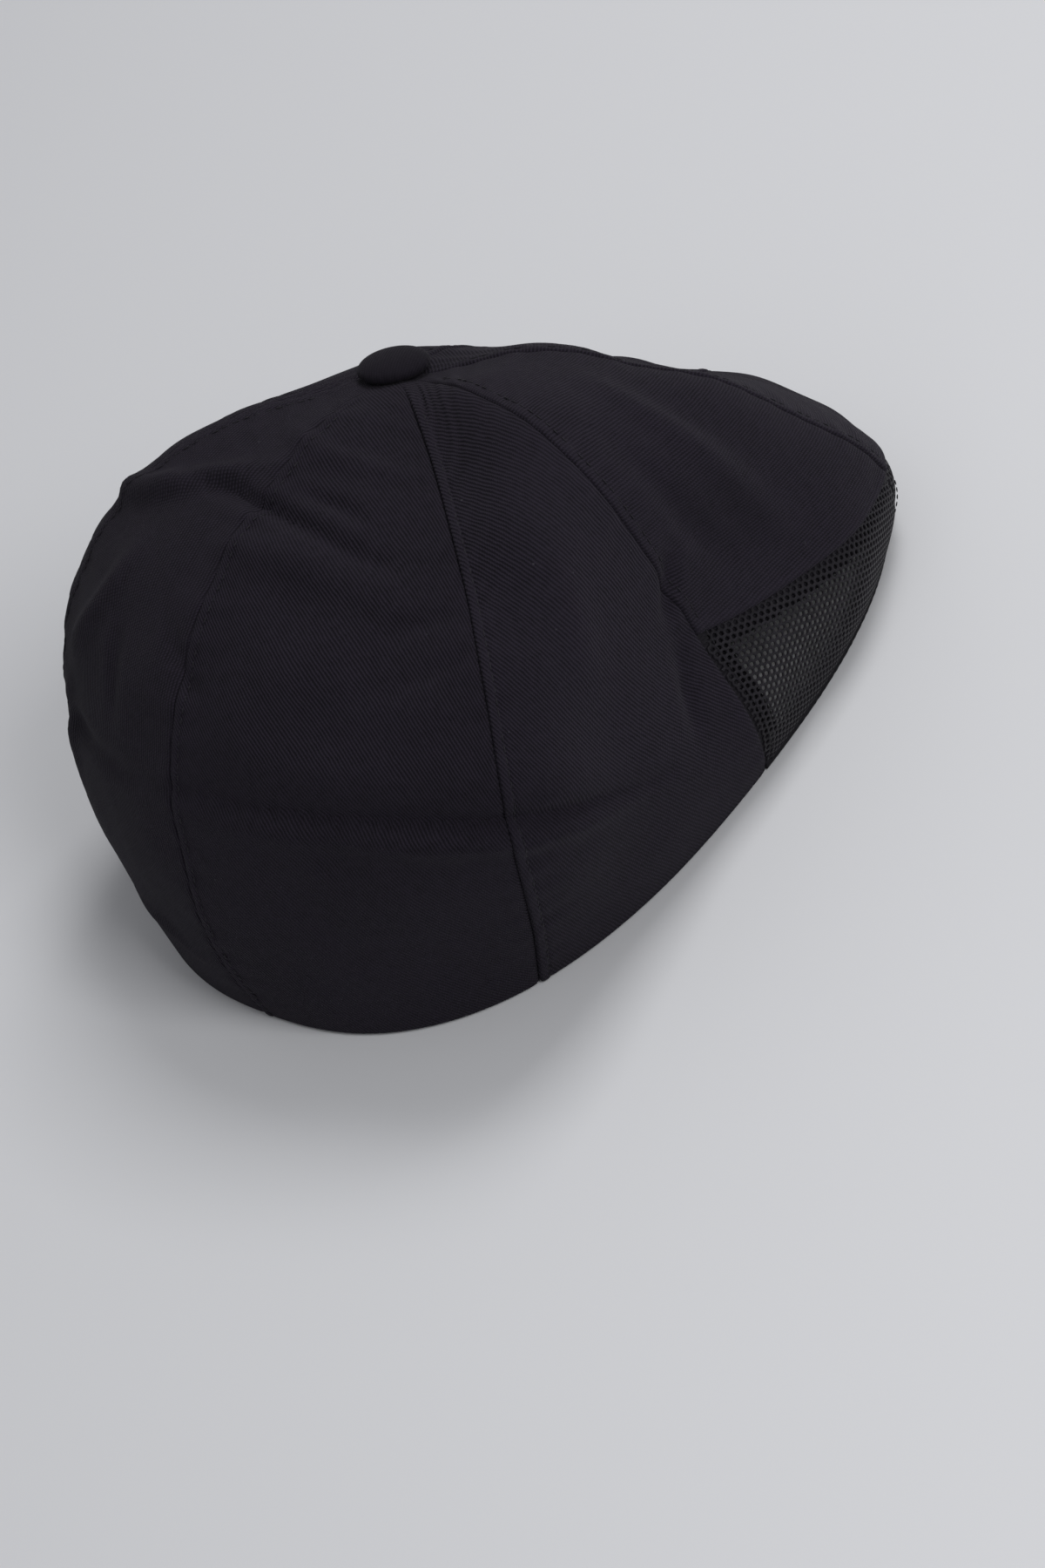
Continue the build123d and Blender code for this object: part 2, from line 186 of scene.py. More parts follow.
def make_hem():
    """Points round the hem from the centre front towards the wearer's right, with running length."""
    angle = np.linspace(0, 2 * np.pi, 1441)
    sine, cosine = np.sin(angle), np.cos(angle)
    power = 2 / HEM_SQUARENESS
    x = -np.sign(sine) * np.abs(sine) ** power * HEM_WIDTH / 2
    y = -np.sign(cosine) * np.abs(cosine) ** power * HEM_LENGTH / 2
    points = np.stack([x, y, 0 * x], axis=1)
    run = np.concatenate([[0.0], np.cumsum(np.linalg.norm(np.diff(points, axis=0), axis=1))])
    return points, run


hem_points, hem_run = make_hem()


def hem_point(turn):
    wanted = np.mod(turn / PANELS, 1.0) * hem_run[-1]
    return np.stack([np.interp(wanted, hem_run, hem_points[:, k]) for k in range(3)], axis=-1)


button_seat = np.array([0.0, -BUTTON_FORWARD, BUTTON_HEIGHT])
button_turn = Matrix.Rotation(math.radians(BUTTON_LEAN_FRONT), 4, "X") @ Matrix.Rotation(
    math.radians(BUTTON_LEAN_LEFT), 4, "Y"
)
seat_normal = np.array(button_turn @ Vector((0, 0, 1)))


def make_seam(index):
    """A seam's line on the outer face, as evenly spaced points with one more before and after."""
    foot = np.array([button_seat[0], button_seat[1], 0.0])
    reach = hem_point(np.float64(index)) - foot
    outward = reach / np.linalg.norm(reach)
    sideways = np.array([-outward[1], outward[0], 0.0])
    across_seat = outward - seat_normal * (outward @ seat_normal)
    points = [button_seat, button_seat + across_seat * SEAT_RADIUS]
    for out_share, height_share in SEAM_PROFILES[index]:
        points.append(foot + reach * out_share + np.array([0, 0, BUTTON_HEIGHT * height_share]))
    points.append(foot + reach)
    line = even_spline(points, 13)
    bow = np.sin(np.pi * np.linspace(0, 1, 13)) * SEAM_SWAYS[index]
    line = even_spline(line + bow[:, None] * sideways, SEAM_STEPS + 1)
    return np.vstack([2 * line[0] - line[1], line, 2 * line[-1] - line[-2]])


seam_tables = np.stack([make_seam(index) for index in range(PANELS)])


def through(before, start, end, after, t):
    """A smooth curve's point between start and end, given the points either side."""
    t = t[..., None]
    return 0.5 * (
        2 * start
        + (end - before) * t
        + (2 * before - 5 * start + 4 * end - after) * t**2
        + (3 * start - before - 3 * end + after) * t**3
    )


def seam_point(index, drop):
    table = seam_tables[np.mod(index, PANELS).astype(int)]
    place = np.clip(drop, 0, 1) * SEAM_STEPS
    low = np.minimum(place.astype(int), SEAM_STEPS - 1)
    near = [np.take_along_axis(table, (low + k)[..., None, None], axis=-2)[..., 0, :] for k in range(4)]
    return through(*near, place - low)


def round_crown(points, t, drop):
    """The cloth between two seams: smooth round the crown, with a soft ridge that fades to the hem."""
    chord = points[1] * (1 - t)[..., None] + points[2] * t[..., None]
    ridge = (RIDGE_SHARPNESS * (1 - drop * drop))[..., None]
    return through(*points, t) * (1 - ridge) + chord * ridge


def crown_point(turn, drop):
    """Points on the smooth crown's outer face, drawn onto the true hem line towards the hem."""
    turn, drop = np.broadcast_arrays(np.asarray(turn, float), np.asarray(drop, float))
    index = np.floor(turn)
    t = turn - index
    point = round_crown([seam_point(index + k, drop) for k in (-1, 0, 1, 2)], t, drop)
    hem_now = round_crown([hem_point(index + k) for k in (-1, 0, 1, 2)], t, drop)
    pull = np.clip(2 * drop - 1, 0, 1) ** 3
    return point + (hem_point(turn) - hem_now) * pull[..., None]


def crown_normal(turn, drop):
    """The direction out of the cloth, level at the hem so that every layer ends in the hem plane."""
    turn, drop = np.broadcast_arrays(np.asarray(turn, float), np.asarray(drop, float))
    low, high = np.clip(drop - SLOPE_STEP, 0.001, 1), np.clip(drop + SLOPE_STEP, 0, 1)
    down = crown_point(turn, high) - crown_point(turn, low)
    around = crown_point(turn + SLOPE_STEP, drop) - crown_point(turn - SLOPE_STEP, drop)
    normal = np.cross(around, down)
    normal[..., 2] *= 1 - drop**LEVEL_POWER
    normal /= np.linalg.norm(normal, axis=-1, keepdims=True)
    outward = crown_point(turn, drop) - np.array([0, 0, BUTTON_HEIGHT * 0.3])
    return normal * np.sign(np.sum(normal * outward, axis=-1, keepdims=True))


def width_per_turn(turn, drop):
    """Millimetres round the crown for one turn."""
    reach = crown_point(turn + SLOPE_STEP, drop) - crown_point(turn - SLOPE_STEP, drop)
    return np.linalg.norm(reach, axis=-1) / (2 * SLOPE_STEP)


def make_lengths():
    turns = np.linspace(0, PANELS, 16 * PANELS + 1)
    line = crown_point(turns[:, None], np.linspace(0, 1, 25)[None, :])
    return turns, np.linalg.norm(np.diff(line, axis=1), axis=2).sum(axis=1)


length_turns, lengths = make_lengths()


def length_down(turn):
    """Length of cloth from the button to the hem."""
    return np.interp(np.mod(turn, PANELS), length_turns, lengths)


def above_hem(turn, height):
    """The drop of a line at a height above the hem, measured along the cloth."""
    return 1 - height / length_down(turn)


def mesh_height(turn):
    """Height of the mesh along the cloth, dipping between the seams."""
    away = np.abs(np.mod(turn + PANELS / 2, PANELS) - PANELS / 2)
    t = np.mod(away, 1)
    inner = MESH_HEIGHT_CENTRE + (MESH_HEIGHT_FRONT - MESH_HEIGHT_CENTRE) * t
    outer = MESH_HEIGHT_FRONT + (MESH_HEIGHT_SIDE - MESH_HEIGHT_FRONT) * (away - 1)
    return np.where(away < 1, inner, outer) - MESH_DIP * 4 * t * (1 - t)


def make_fold_lines():
    lines = []
    share = np.linspace(0, 1, 57)
    for places, width, height in FOLDS:
        corners = np.array(places)
        order = np.linspace(0, 1, len(corners))
        power = min(len(corners) - 1, 3)
        bend = np.polyfit(order, corners, power)
        turn, drop = (sum(bend[k, axis] * share ** (power - k) for k in range(power + 1)) for axis in (0, 1))
        line = crown_point(turn, drop)
        swell = np.sin(np.pi * np.clip(share * 0.9 + 0.05, 0, 1)) ** 0.8
        lines.append((line, swell, width, height))
    return lines


fold_lines = make_fold_lines()
# Gentle unevenness all over: (wavelengths per metre along X, Y and Z, phase, height in millimetres).
WAVES = [
    ((22, 9, 14), 0.4, 0.42), ((-13, 27, 8), 1.9, 0.34), ((31, -18, 21), 3.1, 0.22),
    ((9, 38, -29), 4.4, 0.16), ((-46, 12, 33), 5.2, 0.10), ((52, 44, -17), 0.9, 0.07),
]


def worn_relief(turn, drop):
    """How far the worn cloth stands out from the smooth crown, in millimetres."""
    turn, drop = np.broadcast_arrays(np.asarray(turn, float), np.asarray(drop, float))
    point = crown_point(turn, drop).reshape(-1, 3)
    relief = np.zeros(len(point))
    for line, swell, width, height in fold_lines:
        low, high = line.min(axis=0) - 3 * width, line.max(axis=0) + 3 * width
        near = np.flatnonzero(np.all((point > low) & (point < high), axis=1))
        if not len(near):
            continue
        gap = np.linalg.norm(point[near, None, :] - line[None, :, :], axis=2)
        closest = gap.argmin(axis=1)
        ratio = (gap.min(axis=1) / width) ** 2
        relief[near] += height * swell[closest] * (1 - 0.45 * ratio) * np.exp(-ratio)
    for pitch, phase, height in WAVES:
        relief += height * np.sin(2 * np.pi * (point * MM) @ np.array(pitch) + phase)
    calm = np.clip((1 - drop) * 9, 0, 1) * np.clip(drop * 8, 0, 1)
    return relief.reshape(drop.shape) * calm


def cloth_point(turn, drop, depth, relief=0.0):
    """Points in the worn cloth at a depth inside its outer face, raised by a seam's own relief."""
    lift = worn_relief(turn, drop) + relief - depth
    return crown_point(turn, drop) + crown_normal(turn, drop) * lift[..., None]


# ---- seams ----
# A seam's allowances are pressed towards the seam before it, which is to the right as seen from outside.
# Each section below holds distances from a line on the cloth, and how far the cloth stands out there.
LAP = (
    [0.0, 0.15, 0.40, 0.75, 1.75, 2.15, 2.45, 2.9, 3.8, 5.2],
    [-0.75, -0.36, 0.12, 0.28, 0.30, 0.20, -0.08, 0.00, 0.04, 0.0],
)
GROOVE = ([0.0, 0.25, 0.7, 1.5, 2.6], [-0.75, -0.50, -0.20, -0.05, 0.0])
JOIN_EDGE = ([0, 0.3, 0.8, 1.8, 2.6, 4], [-0.3, 0.05, 0.25, 0.25, 0.02, 0])
NET_LAP = ([0, 2.0, 3.5], [0.35, 0.25, 0])
NET_GROOVE = (GROOVE[0], np.array(GROOVE[1]) * 0.6)
STITCH_LINE = 2.45
SEAM_STRENGTHS = [0.8, 0.7, 0.6, 1.25, 0.85, 0.75, 0.8, 0.8]
# How far each panel's twill ribs lean from its centre line, in degrees: the fronts are cut on the cross.
GRAINS = [80, 83, 25, 38, 13, 28, 78, 82]
PUCKER_PITCH, PUCKER_HEIGHT, PUCKER_REACH, PUCKER_START = 7.5, 0.22, 7.0, 8.0


def seam_relief(index, t, turn, drop):
    """Relief of a panel near its two seams: a groove at its first, a raised lap at its second."""
    width = width_per_turn(turn, drop)
    first, second = t * width, (1 - t) * width
    shape = SEAM_STRENGTHS[index] * np.interp(first, *GROOVE)
    shape += SEAM_STRENGTHS[(index + 1) % PANELS] * np.interp(second, *LAP)
    along = (1 - drop) * length_down(turn)
    wave = 2 * np.pi * along / PUCKER_PITCH
    pucker = np.sin(wave + index) + 0.5 * np.sin(wave * 0.61 + 2 * index)
    edge = np.clip(second / STITCH_LINE, 0, 1) * np.exp(-second / PUCKER_REACH)
    edge += 0.7 * np.clip(first, 0, 1) * np.exp(-first / PUCKER_REACH)
    calm = np.clip((drop - 0.045) * 16, 0, 1)
    return (shape + PUCKER_HEIGHT * pucker * edge * np.clip(along / PUCKER_START, 0, 1)) * calm


# ---- mesh making ----
def placed(name, data):
    """An object of a mesh, light or camera, in the scene."""
    thing = bpy.data.objects.new(name, data)
    bpy.context.scene.collection.objects.link(thing)
    return thing


def piece_from(name, points, faces, cut, sharp=50.0):
    """A mesh object from points in millimetres, with its cut coordinates as a UV map in metres."""
    mesh = bpy.data.meshes.new(name)
    mesh.from_pydata((points * MM).tolist(), [], faces)
    layer = mesh.uv_layers.new(name="cut")
    corners = np.zeros(len(mesh.loops), dtype=np.int32)
    mesh.loops.foreach_get("vertex_index", corners)
    layer.data.foreach_set("uv", (cut * MM)[corners].astype(np.float32).ravel())
    work = bmesh.new()
    work.from_mesh(mesh)
    bmesh.ops.recalc_face_normals(work, faces=work.faces)
    work.to_mesh(mesh)
    work.free()
    mesh.shade_smooth()
    mesh.set_sharp_from_angle(angle=math.radians(sharp))
    return placed(name, mesh)


def grid_faces(rows, columns, first=0, closed=False):
    """Four-sided faces of a grid of points, wrapped round its columns when closed."""
    spans = columns if closed else columns - 1
    r, c = np.meshgrid(np.arange(rows - 1), np.arange(spans), indexing="ij")
    a, b = r * columns + c, r * columns + (c + 1) % columns
    return np.stack([a, b, b + columns, a + columns], axis=-1).reshape(-1, 4) + first


def closed_cloth(name, outer, inner, cut):
    """A closed sheet between an outer and an inner grid of points."""
    rows, columns = outer.shape[:2]
    count = rows * columns
    faces = [grid_faces(rows, columns), grid_faces(rows, columns, count)[:, ::-1]]
    grid = np.arange(count).reshape(rows, columns)
    for edge in (grid[0], grid[-1][::-1], grid[::-1, 0], grid[:, -1]):
        faces.append(np.stack([edge[1:], edge[:-1], edge[:-1] + count, edge[1:] + count], axis=1))
    points = np.vstack([outer.reshape(-1, 3), inner.reshape(-1, 3)])
    return piece_from(name, points, np.vstack(faces).tolist(), np.vstack([cut.reshape(-1, 2)] * 2))


def set_value(mesh, name, values, kind="FLOAT"):
    """Stores a number, or a direction, for each point of a mesh."""
    attribute = mesh.attributes.new(name, kind, "POINT")
    field = "value" if kind == "FLOAT" else "vector"
    attribute.data.foreach_set(field, np.asarray(values, np.float32).ravel())


def cut_place(turn, drop, centre):
    """Flat pattern coordinates: across from a centre line, to the right from outside, and up the cloth."""
    across = (centre - turn) * width_per_turn(centre, drop)
    return np.stack([across, (1 - drop) * length_down(centre)], axis=-1)


def flat_size(cut):
    """The cut's width, length and area in metres, from a grid of its flat coordinates."""
    a, b = cut[1:, 1:] - cut[:-1, :-1], cut[1:, :-1] - cut[:-1, 1:]
    area = 0.5 * np.abs(a[..., 0] * b[..., 1] - a[..., 1] * b[..., 0]).sum()
    return (np.ptp(cut[..., 0]) * MM, np.ptp(cut[..., 1]) * MM), area * MM * MM


def strip_piece(name, turn, drop, near, far, centre, follow=0.0):
    """A closed strip of cloth between two depths, over a grid of turns and drops, and its cut."""
    cut = cut_place(turn, drop, centre)
    outer, inner = cloth_point(turn, drop, near + follow), cloth_point(turn, drop, far + follow)
    return closed_cloth(name, outer, inner, cut), cut


def rounded(share, near, far, lip=0.12):
    """Near and far depths across a strip, drawn together at both edges."""
    middle = (near + far) / 2
    pinch = np.interp(share, [0, lip, 1 - lip, 1], [0.35, 1, 1, 0.35])
    return middle - (middle - near) * pinch, middle + (far - middle) * pinch


def shares(rows, columns):
    """Shares down and across a grid, from 0 to 1, as a column and as a row."""
    return np.linspace(0, 1, rows)[:, None], np.linspace(0, 1, columns)[None, :]


def band_grid(first, last, columns, rows, high, low):
    """Turns, drops and heights of a band round the crown between two heights above the hem."""
    turn = np.linspace(first, last, columns)[None, :] + np.zeros((rows, 1))
    height = np.linspace(high, low, rows)[:, None] + 0 * turn
    return turn, above_hem(turn, height), height


# ---- node trees ----
def fill(tree, socket, source):
    """Links a socket to a node's first output or to another socket, or sets its value; None leaves it be."""
    if source is None:
        return
    if isinstance(source, bpy.types.Node):
        source = source.outputs[0]
    if isinstance(source, bpy.types.NodeSocket):
        tree.links.new(source, socket)
    else:
        socket.default_value = source


def put(tree, kind, *sources, named=None, **settings):
    """Adds a node, fills its inputs in order and by name, and returns it."""
    node = tree.nodes.new(kind)
    for setting, value in settings.items():
        setattr(node, setting, value)
    for socket, source in zip(node.inputs, sources):
        fill(tree, socket, source)
    for name, source in (named or {}).items():
        fill(tree, node.inputs[name], source)
    return node


def math_node(tree, operation, *sources):
    return put(tree, "ShaderNodeMath", *sources, operation=operation)


def times(tree, first, second):
    return math_node(tree, "MULTIPLY", first, second)


def scaled(tree, value, scale, start):
    """A value times a scale, added to a start."""
    return math_node(tree, "MULTIPLY_ADD", value, scale, start)


def new_tree(name, *numbers):
    """A geometry node tree that takes a geometry, the named numbers and a material, and its inputs."""
    tree = bpy.data.node_groups.new(name, "GeometryNodeTree")
    kinds = {"Geometry": "Geometry", **{label: "Float" for label in numbers}, "Material": "Material"}
    for label, kind in kinds.items():
        tree.interface.new_socket(label, in_out="INPUT", socket_type="NodeSocket" + kind)
    tree.interface.new_socket("Geometry", in_out="OUTPUT", socket_type="NodeSocketGeometry")
    return tree, tree.nodes.new("NodeGroupInput").outputs


def close_tree(tree, geometry, material):
    """Ends a tree in plain smooth faces with their material."""
    real = put(tree, "GeometryNodeRealizeInstances", geometry)
    smooth = put(tree, "GeometryNodeSetShadeSmooth", real)
    put(tree, "NodeGroupOutput", put(tree, "GeometryNodeSetMaterial", smooth, None, material))
    return tree


def grown(piece, tree, values):
    """Runs a geometry node tree on a piece and keeps what it makes as the piece's plain mesh."""
    modifier = piece.modifiers.new(tree.name, "NODES")
    modifier.node_group = tree
    for item in tree.interface.items_tree:
        if item.item_type == "SOCKET" and item.in_out == "INPUT" and item.name in values:
            modifier[item.identifier] = values[item.name]
    evaluated = piece.evaluated_get(bpy.context.evaluated_depsgraph_get())
    made = bpy.data.meshes.new_from_object(evaluated)
    piece.modifiers.clear()
    made.name = piece.name
    piece.data = made
    return piece


@functools.cache
def stitch_tree():
    """Stitches along a line: lozenges of thread, one to each pitch, laid on the cloth."""
    tree, take = new_tree("stitches", "Pitch", "Stitch Length", "Thread Width")
    curve = put(tree, "GeometryNodeMeshToCurve", take["Geometry"])
    evenly = put(tree, "GeometryNodeResampleCurve", curve, named={"Length": take["Pitch"]}, mode="LENGTH")
    half_length = times(tree, take["Stitch Length"], 0.5)
    half_width = times(tree, take["Thread Width"], 0.5)
    size = put(tree, "ShaderNodeCombineXYZ", half_length, half_width, half_width)
    ball = put(tree, "GeometryNodeMeshUVSphere", 6, 4, 1.0)
    thread = put(tree, "GeometryNodeTransform", ball, named={"Scale": size})
    tangent = put(tree, "GeometryNodeInputTangent")
    out = put(tree, "GeometryNodeInputNamedAttribute", "face_out", data_type="FLOAT_VECTOR")
    align = "FunctionNodeAlignRotationToVector"
    turned = put(tree, align, None, 1.0, tangent, axis="X")
    turned = put(tree, align, turned, 1.0, out, axis="Z", pivot_axis="X")
    laid = put(tree, "GeometryNodeInstanceOnPoints", evenly, None, thread, None, None, turned)
    return close_tree(tree, laid, take["Material"])


@functools.cache
def net_tree():
    """Open mesh: threads round hexagonal holes, laid out flat on the cut and wrapped on the cloth."""
    tree, take = new_tree("mesh_net", "Width", "Height", "Pitch", "Thread Width", "Thread Flatness")

    def holes_along(length, step):
        whole = math_node(tree, "CEIL", math_node(tree, "DIVIDE", length, step))
        return math_node(tree, "ADD", whole, 2.0)

    def attribute(name, kind="FLOAT_VECTOR"):
        return put(tree, "GeometryNodeInputNamedAttribute", name, data_type=kind)

    def here():
        return put(tree, "GeometryNodeInputPosition")

    def on_cloth(value, kind="FLOAT_VECTOR"):
        """A value of the cloth, read where each point of the flat net lies on the cut."""
        named = {"Mesh": take["Geometry"], "Value": value}
        named.update({"Source UV Map": attribute("cut"), "Sample UV": here()})
        return put(tree, "GeometryNodeSampleUVSurface", named=named, data_type=kind)

    step_x = times(tree, take["Pitch"], math.sqrt(3) / 2)
    columns, rows = holes_along(take["Width"], step_x), holes_along(take["Height"], take["Pitch"])
    index = put(tree, "GeometryNodeInputIndex")
    row = math_node(tree, "FLOOR", math_node(tree, "DIVIDE", math_node(tree, "ADD", index, 0.5), columns))
    column = math_node(tree, "SUBTRACT", index, times(tree, row, columns))
    x = math_node(tree, "SUBTRACT", times(tree, column, step_x), times(tree, take["Width"], 0.5))
    odd = math_node(tree, "MODULO", column, 2.0)
    y = times(tree, scaled(tree, odd, 0.5, row), take["Pitch"])
    spot = put(tree, "ShaderNodeCombineXYZ", x, y, 0.0)
    spots = put(tree, "GeometryNodePoints", times(tree, columns, rows), spot)
    hole = put(tree, "GeometryNodeMeshCircle", 6, math_node(tree, "DIVIDE", take["Pitch"], math.sqrt(3)))
    holes = put(tree, "GeometryNodeInstanceOnPoints", spots, None, hole)
    lattice = put(tree, "GeometryNodeRealizeInstances", holes)
    near = times(tree, take["Pitch"], 0.05)
    joined = put(tree, "GeometryNodeMergeByDistance", lattice, named={"Distance": near})
    outside = math_node(tree, "LESS_THAN", on_cloth(attribute("keep", "FLOAT"), "FLOAT"), 0.5)
    trimmed = put(tree, "GeometryNodeDeleteGeometry", joined, outside)
    wires = put(tree, "GeometryNodeMeshToCurve", trimmed)
    level = put(tree, "GeometryNodeSetCurveNormal", wires, mode="Z_UP")
    radius = times(tree, take["Thread Width"], 0.5)
    section = put(tree, "GeometryNodeCurvePrimitiveCircle", named={"Resolution": 6, "Radius": radius})
    squash = put(tree, "ShaderNodeCombineXYZ", 1.0, take["Thread Flatness"], 1.0)
    section = put(tree, "GeometryNodeTransform", section, named={"Scale": squash})
    tubes = put(tree, "GeometryNodeCurveToMesh", level, section, named={"Fill Caps": True})
    height = put(tree, "ShaderNodeSeparateXYZ", here()).outputs[2]
    out = on_cloth(attribute("face_out"))
    lift = put(tree, "ShaderNodeVectorMath", out, named={"Scale": height}, operation="SCALE")
    place = put(tree, "ShaderNodeVectorMath", on_cloth(here()), lift, operation="ADD")
    wrapped = put(tree, "GeometryNodeSetPosition", tubes, None, place)
    return close_tree(tree, wrapped, take["Material"])


# ---- materials ----
def new_material(name, colour, roughness, **settings):
    """A material and its shader, whose even values stand on the shader's own sockets."""
    material = bpy.data.materials.new(name)
    material.use_nodes = True
    shader = material.node_tree.nodes["Principled BSDF"]
    shader.inputs["Base Color"].default_value = (*colour, 1)
    shader.inputs["Roughness"].default_value = roughness
    for socket, value in settings.items():
        shader.inputs[socket.replace("_", " ")].default_value = value
    return material, material.node_tree, shader


def shade_of(colour, share):
    """A darker or lighter shade of a colour."""
    return (*np.minimum(np.array(colour) * share, 1), 1)


def blended(tree, share, first, second):
    """A colour between two, by a share."""
    named = {"Factor": share, "A": first, "B": second}
    return put(tree, "ShaderNodeMix", named=named, data_type="RGBA").outputs["Result"]


def object_noise(tree, scale, detail=2.0):
    place = put(tree, "ShaderNodeTexCoord").outputs["Object"]
    named = {"Vector": place, "Scale": scale, "Detail": detail}
    return put(tree, "ShaderNodeTexNoise", named=named).outputs["Fac"]


def vary(tree, shader, colour, rough=None):
    """Links a colour, and a roughness where one is given, to a shader."""
    fill(tree, shader.inputs["Base Color"], colour)
    fill(tree, shader.inputs["Roughness"], rough)


def bump(tree, shader, height, distance, strength=0.8):
    """Raises a surface by a height from 0 to 1, over a distance in metres."""
    named = {"Strength": strength, "Distance": distance, "Height": height}
    fill(tree, shader.inputs["Normal"], put(tree, "ShaderNodeBump", named=named))


def ribs(tree, coordinate, angle, pitch, waver):
    """Ridges 0 to 1 across a flat pattern, at an angle from its length, drawn slightly unevenly."""
    way = (math.cos(angle) / pitch, math.sin(angle) / pitch, 0)
    across = put(tree, "ShaderNodeVectorMath", coordinate, way, operation="DOT_PRODUCT").outputs["Value"]
    moved = math_node(tree, "ADD", across, waver)
    return scaled(tree, math_node(tree, "SINE", times(tree, moved, 2 * math.pi)), 0.5, 0.5)


def twill_material(name, colours, pitch, slope=0.0, depth=0.00034, contrast=1.2):
    """Cotton twill: ribs of yarn crossed by finer picks, uneven, a little faded, rubbed on raised edges."""
    twill = colours.twill
    material, tree, shader = new_material(
        name, twill, 0.82, Sheen_Weight=0.03, Sheen_Roughness=0.5, Sheen_Tint=(*colours.bloom, 1),
        Specular_IOR_Level=0.08,
    )
    layout = put(tree, "ShaderNodeUVMap", uv_map="cut")
    slub, faded, fibre = object_noise(tree, 520), object_noise(tree, 28, 4), object_noise(tree, 2600, 3)
    waver = scaled(tree, slub, 0.55, times(tree, object_noise(tree, 90), 0.9))
    rib = ribs(tree, layout, slope, pitch, waver)
    pick = ribs(tree, layout, slope - math.radians(62), pitch * 0.8, slub)
    yarn = times(tree, rib, scaled(tree, pick, 0.5, 0.5))
    uneven = scaled(tree, slub, 0.5, times(tree, faded, 0.5))
    share = scaled(tree, yarn, 0.85 * contrast, math_node(tree, "SUBTRACT", uneven, 0.12))
    colour = blended(tree, share, shade_of(twill, 1 - 0.8 * contrast), shade_of(twill, 1 + 1.25 * contrast))
    place = put(tree, "ShaderNodeTexCoord").outputs["Object"]
    specks = put(tree, "ShaderNodeTexVoronoi", named={"Vector": place, "Scale": 110}).outputs["Distance"]
    lint = times(tree, math_node(tree, "LESS_THAN", specks, 0.028), 0.22)
    colour = blended(tree, lint, colour, (*colours.lint, 1))
    wear = put(tree, "ShaderNodeAttribute", attribute_name="wear").outputs["Fac"]
    colour = blended(tree, times(tree, wear, 0.35), colour, shade_of(twill, 2.4))
    vary(tree, shader, colour, scaled(tree, faded, 0.16, 0.74))
    bump(tree, shader, scaled(tree, fibre, 0.3, yarn), depth)
    return material


def net_material(colour):
    """Knitted mesh thread, a little glossier than the twill, with fine fibres."""
    material, tree, shader = new_material(
        "mesh_net", colour, 0.55, Specular_IOR_Level=0.14, Sheen_Weight=0.03
    )
    fibre = object_noise(tree, 1800, 3)
    varied = blended(tree, object_noise(tree, 140), shade_of(colour, 0.6), shade_of(colour, 1.7))
    vary(tree, shader, varied, scaled(tree, fibre, 0.3, 0.38))
    bump(tree, shader, fibre, 0.0001)
    return material


def woven_material(name, colour, pitch, depth=0.00012, roughness=0.8, **settings):
    """Plain woven tape or satin: fine ribs across and coarser picks along."""
    material, tree, shader = new_material(name, colour, roughness, **settings)
    layout = put(tree, "ShaderNodeUVMap", uv_map="cut")
    across = ribs(tree, layout, math.radians(90), pitch, 0.0)
    along = ribs(tree, layout, 0.0, pitch * 1.6, 0.0)
    weave = times(tree, across, scaled(tree, along, 0.5, 0.5))
    uneven = scaled(tree, object_noise(tree, 60), 0.5, times(tree, weave, 0.5))
    vary(tree, shader, blended(tree, uneven, shade_of(colour, 0.62), shade_of(colour, 1.35)))
    bump(tree, shader, weave, depth, 0.7)
    return material


def thread_material(colour):
    """Spun polyester thread with fine twisted plies."""
    material, tree, shader = new_material(
        "sewing_thread", colour, 0.6, Sheen_Weight=0.04, Specular_IOR_Level=0.12
    )
    ply = object_noise(tree, 3200)
    varied = blended(tree, ply, shade_of(colour, 0.5), shade_of(colour, 1.8))
    vary(tree, shader, varied, scaled(tree, ply, 0.25, 0.45))
    bump(tree, shader, ply, 0.00008)
    return material


def plated_material(colour):
    """Plated steel of the hidden button parts, with faint turning marks and dulled patches."""
    material, tree, shader = new_material("plated_steel", colour, 0.32, Metallic=1.0)
    patch = object_noise(tree, 420, 4)
    varied = blended(tree, patch, shade_of(colour, 0.7), shade_of(colour, 1.15))
    vary(tree, shader, varied, scaled(tree, patch, 0.3, 0.2))
    bump(tree, shader, object_noise(tree, 2400), 0.00003, 0.5)
    return material


def floor_material(colour):
    """Pale floor with faint clouds."""
    material, tree, shader = new_material("pale_floor", colour, 0.55)
    vary(tree, shader, blended(tree, object_noise(tree, 1.5), shade_of(colour, 0.97), shade_of(colour, 1.03)))
    return material


@functools.cache
def finish_of(name):
    """The material of a finish, made once."""
    colours, pitch = bpy.context.scene.cap_colours, bpy.context.scene.cap_sizes.rib_pitch
    makers = {
        "twill": lambda: twill_material("black_twill", colours, pitch),
        "band_twill": lambda: twill_material("band_twill", colours, pitch, math.radians(-45), contrast=0.8),
        "button_twill": lambda: twill_material(
            "button_twill", colours, pitch * 0.8, math.radians(30), 0.00012, 0.5
        ),
        "net": lambda: net_material(colours.net),
        "tape": lambda: woven_material("woven_tape", colours.tape, 0.0007, Specular_IOR_Level=0.12),
        "knit": lambda: woven_material(
            "knit_edge", colours.net, 0.0012, 0.00035, 0.6, Specular_IOR_Level=0.12
        ),
        "label": lambda: woven_material(
            "label_satin", colours.label, 0.0004, 0.00004, 0.38, Sheen_Weight=0.3
        ),
        "thread": lambda: thread_material(colours.thread),
        "steel": lambda: plated_material(colours.steel),
    }
    return makers[name]()


# ---- finishing each piece ----
# The smallest side that a cut's flat size is raised to, in metres. The smallest side
# that a sheet of cloth is declared with, in metres.
SMALLEST_SIDE = 0.01


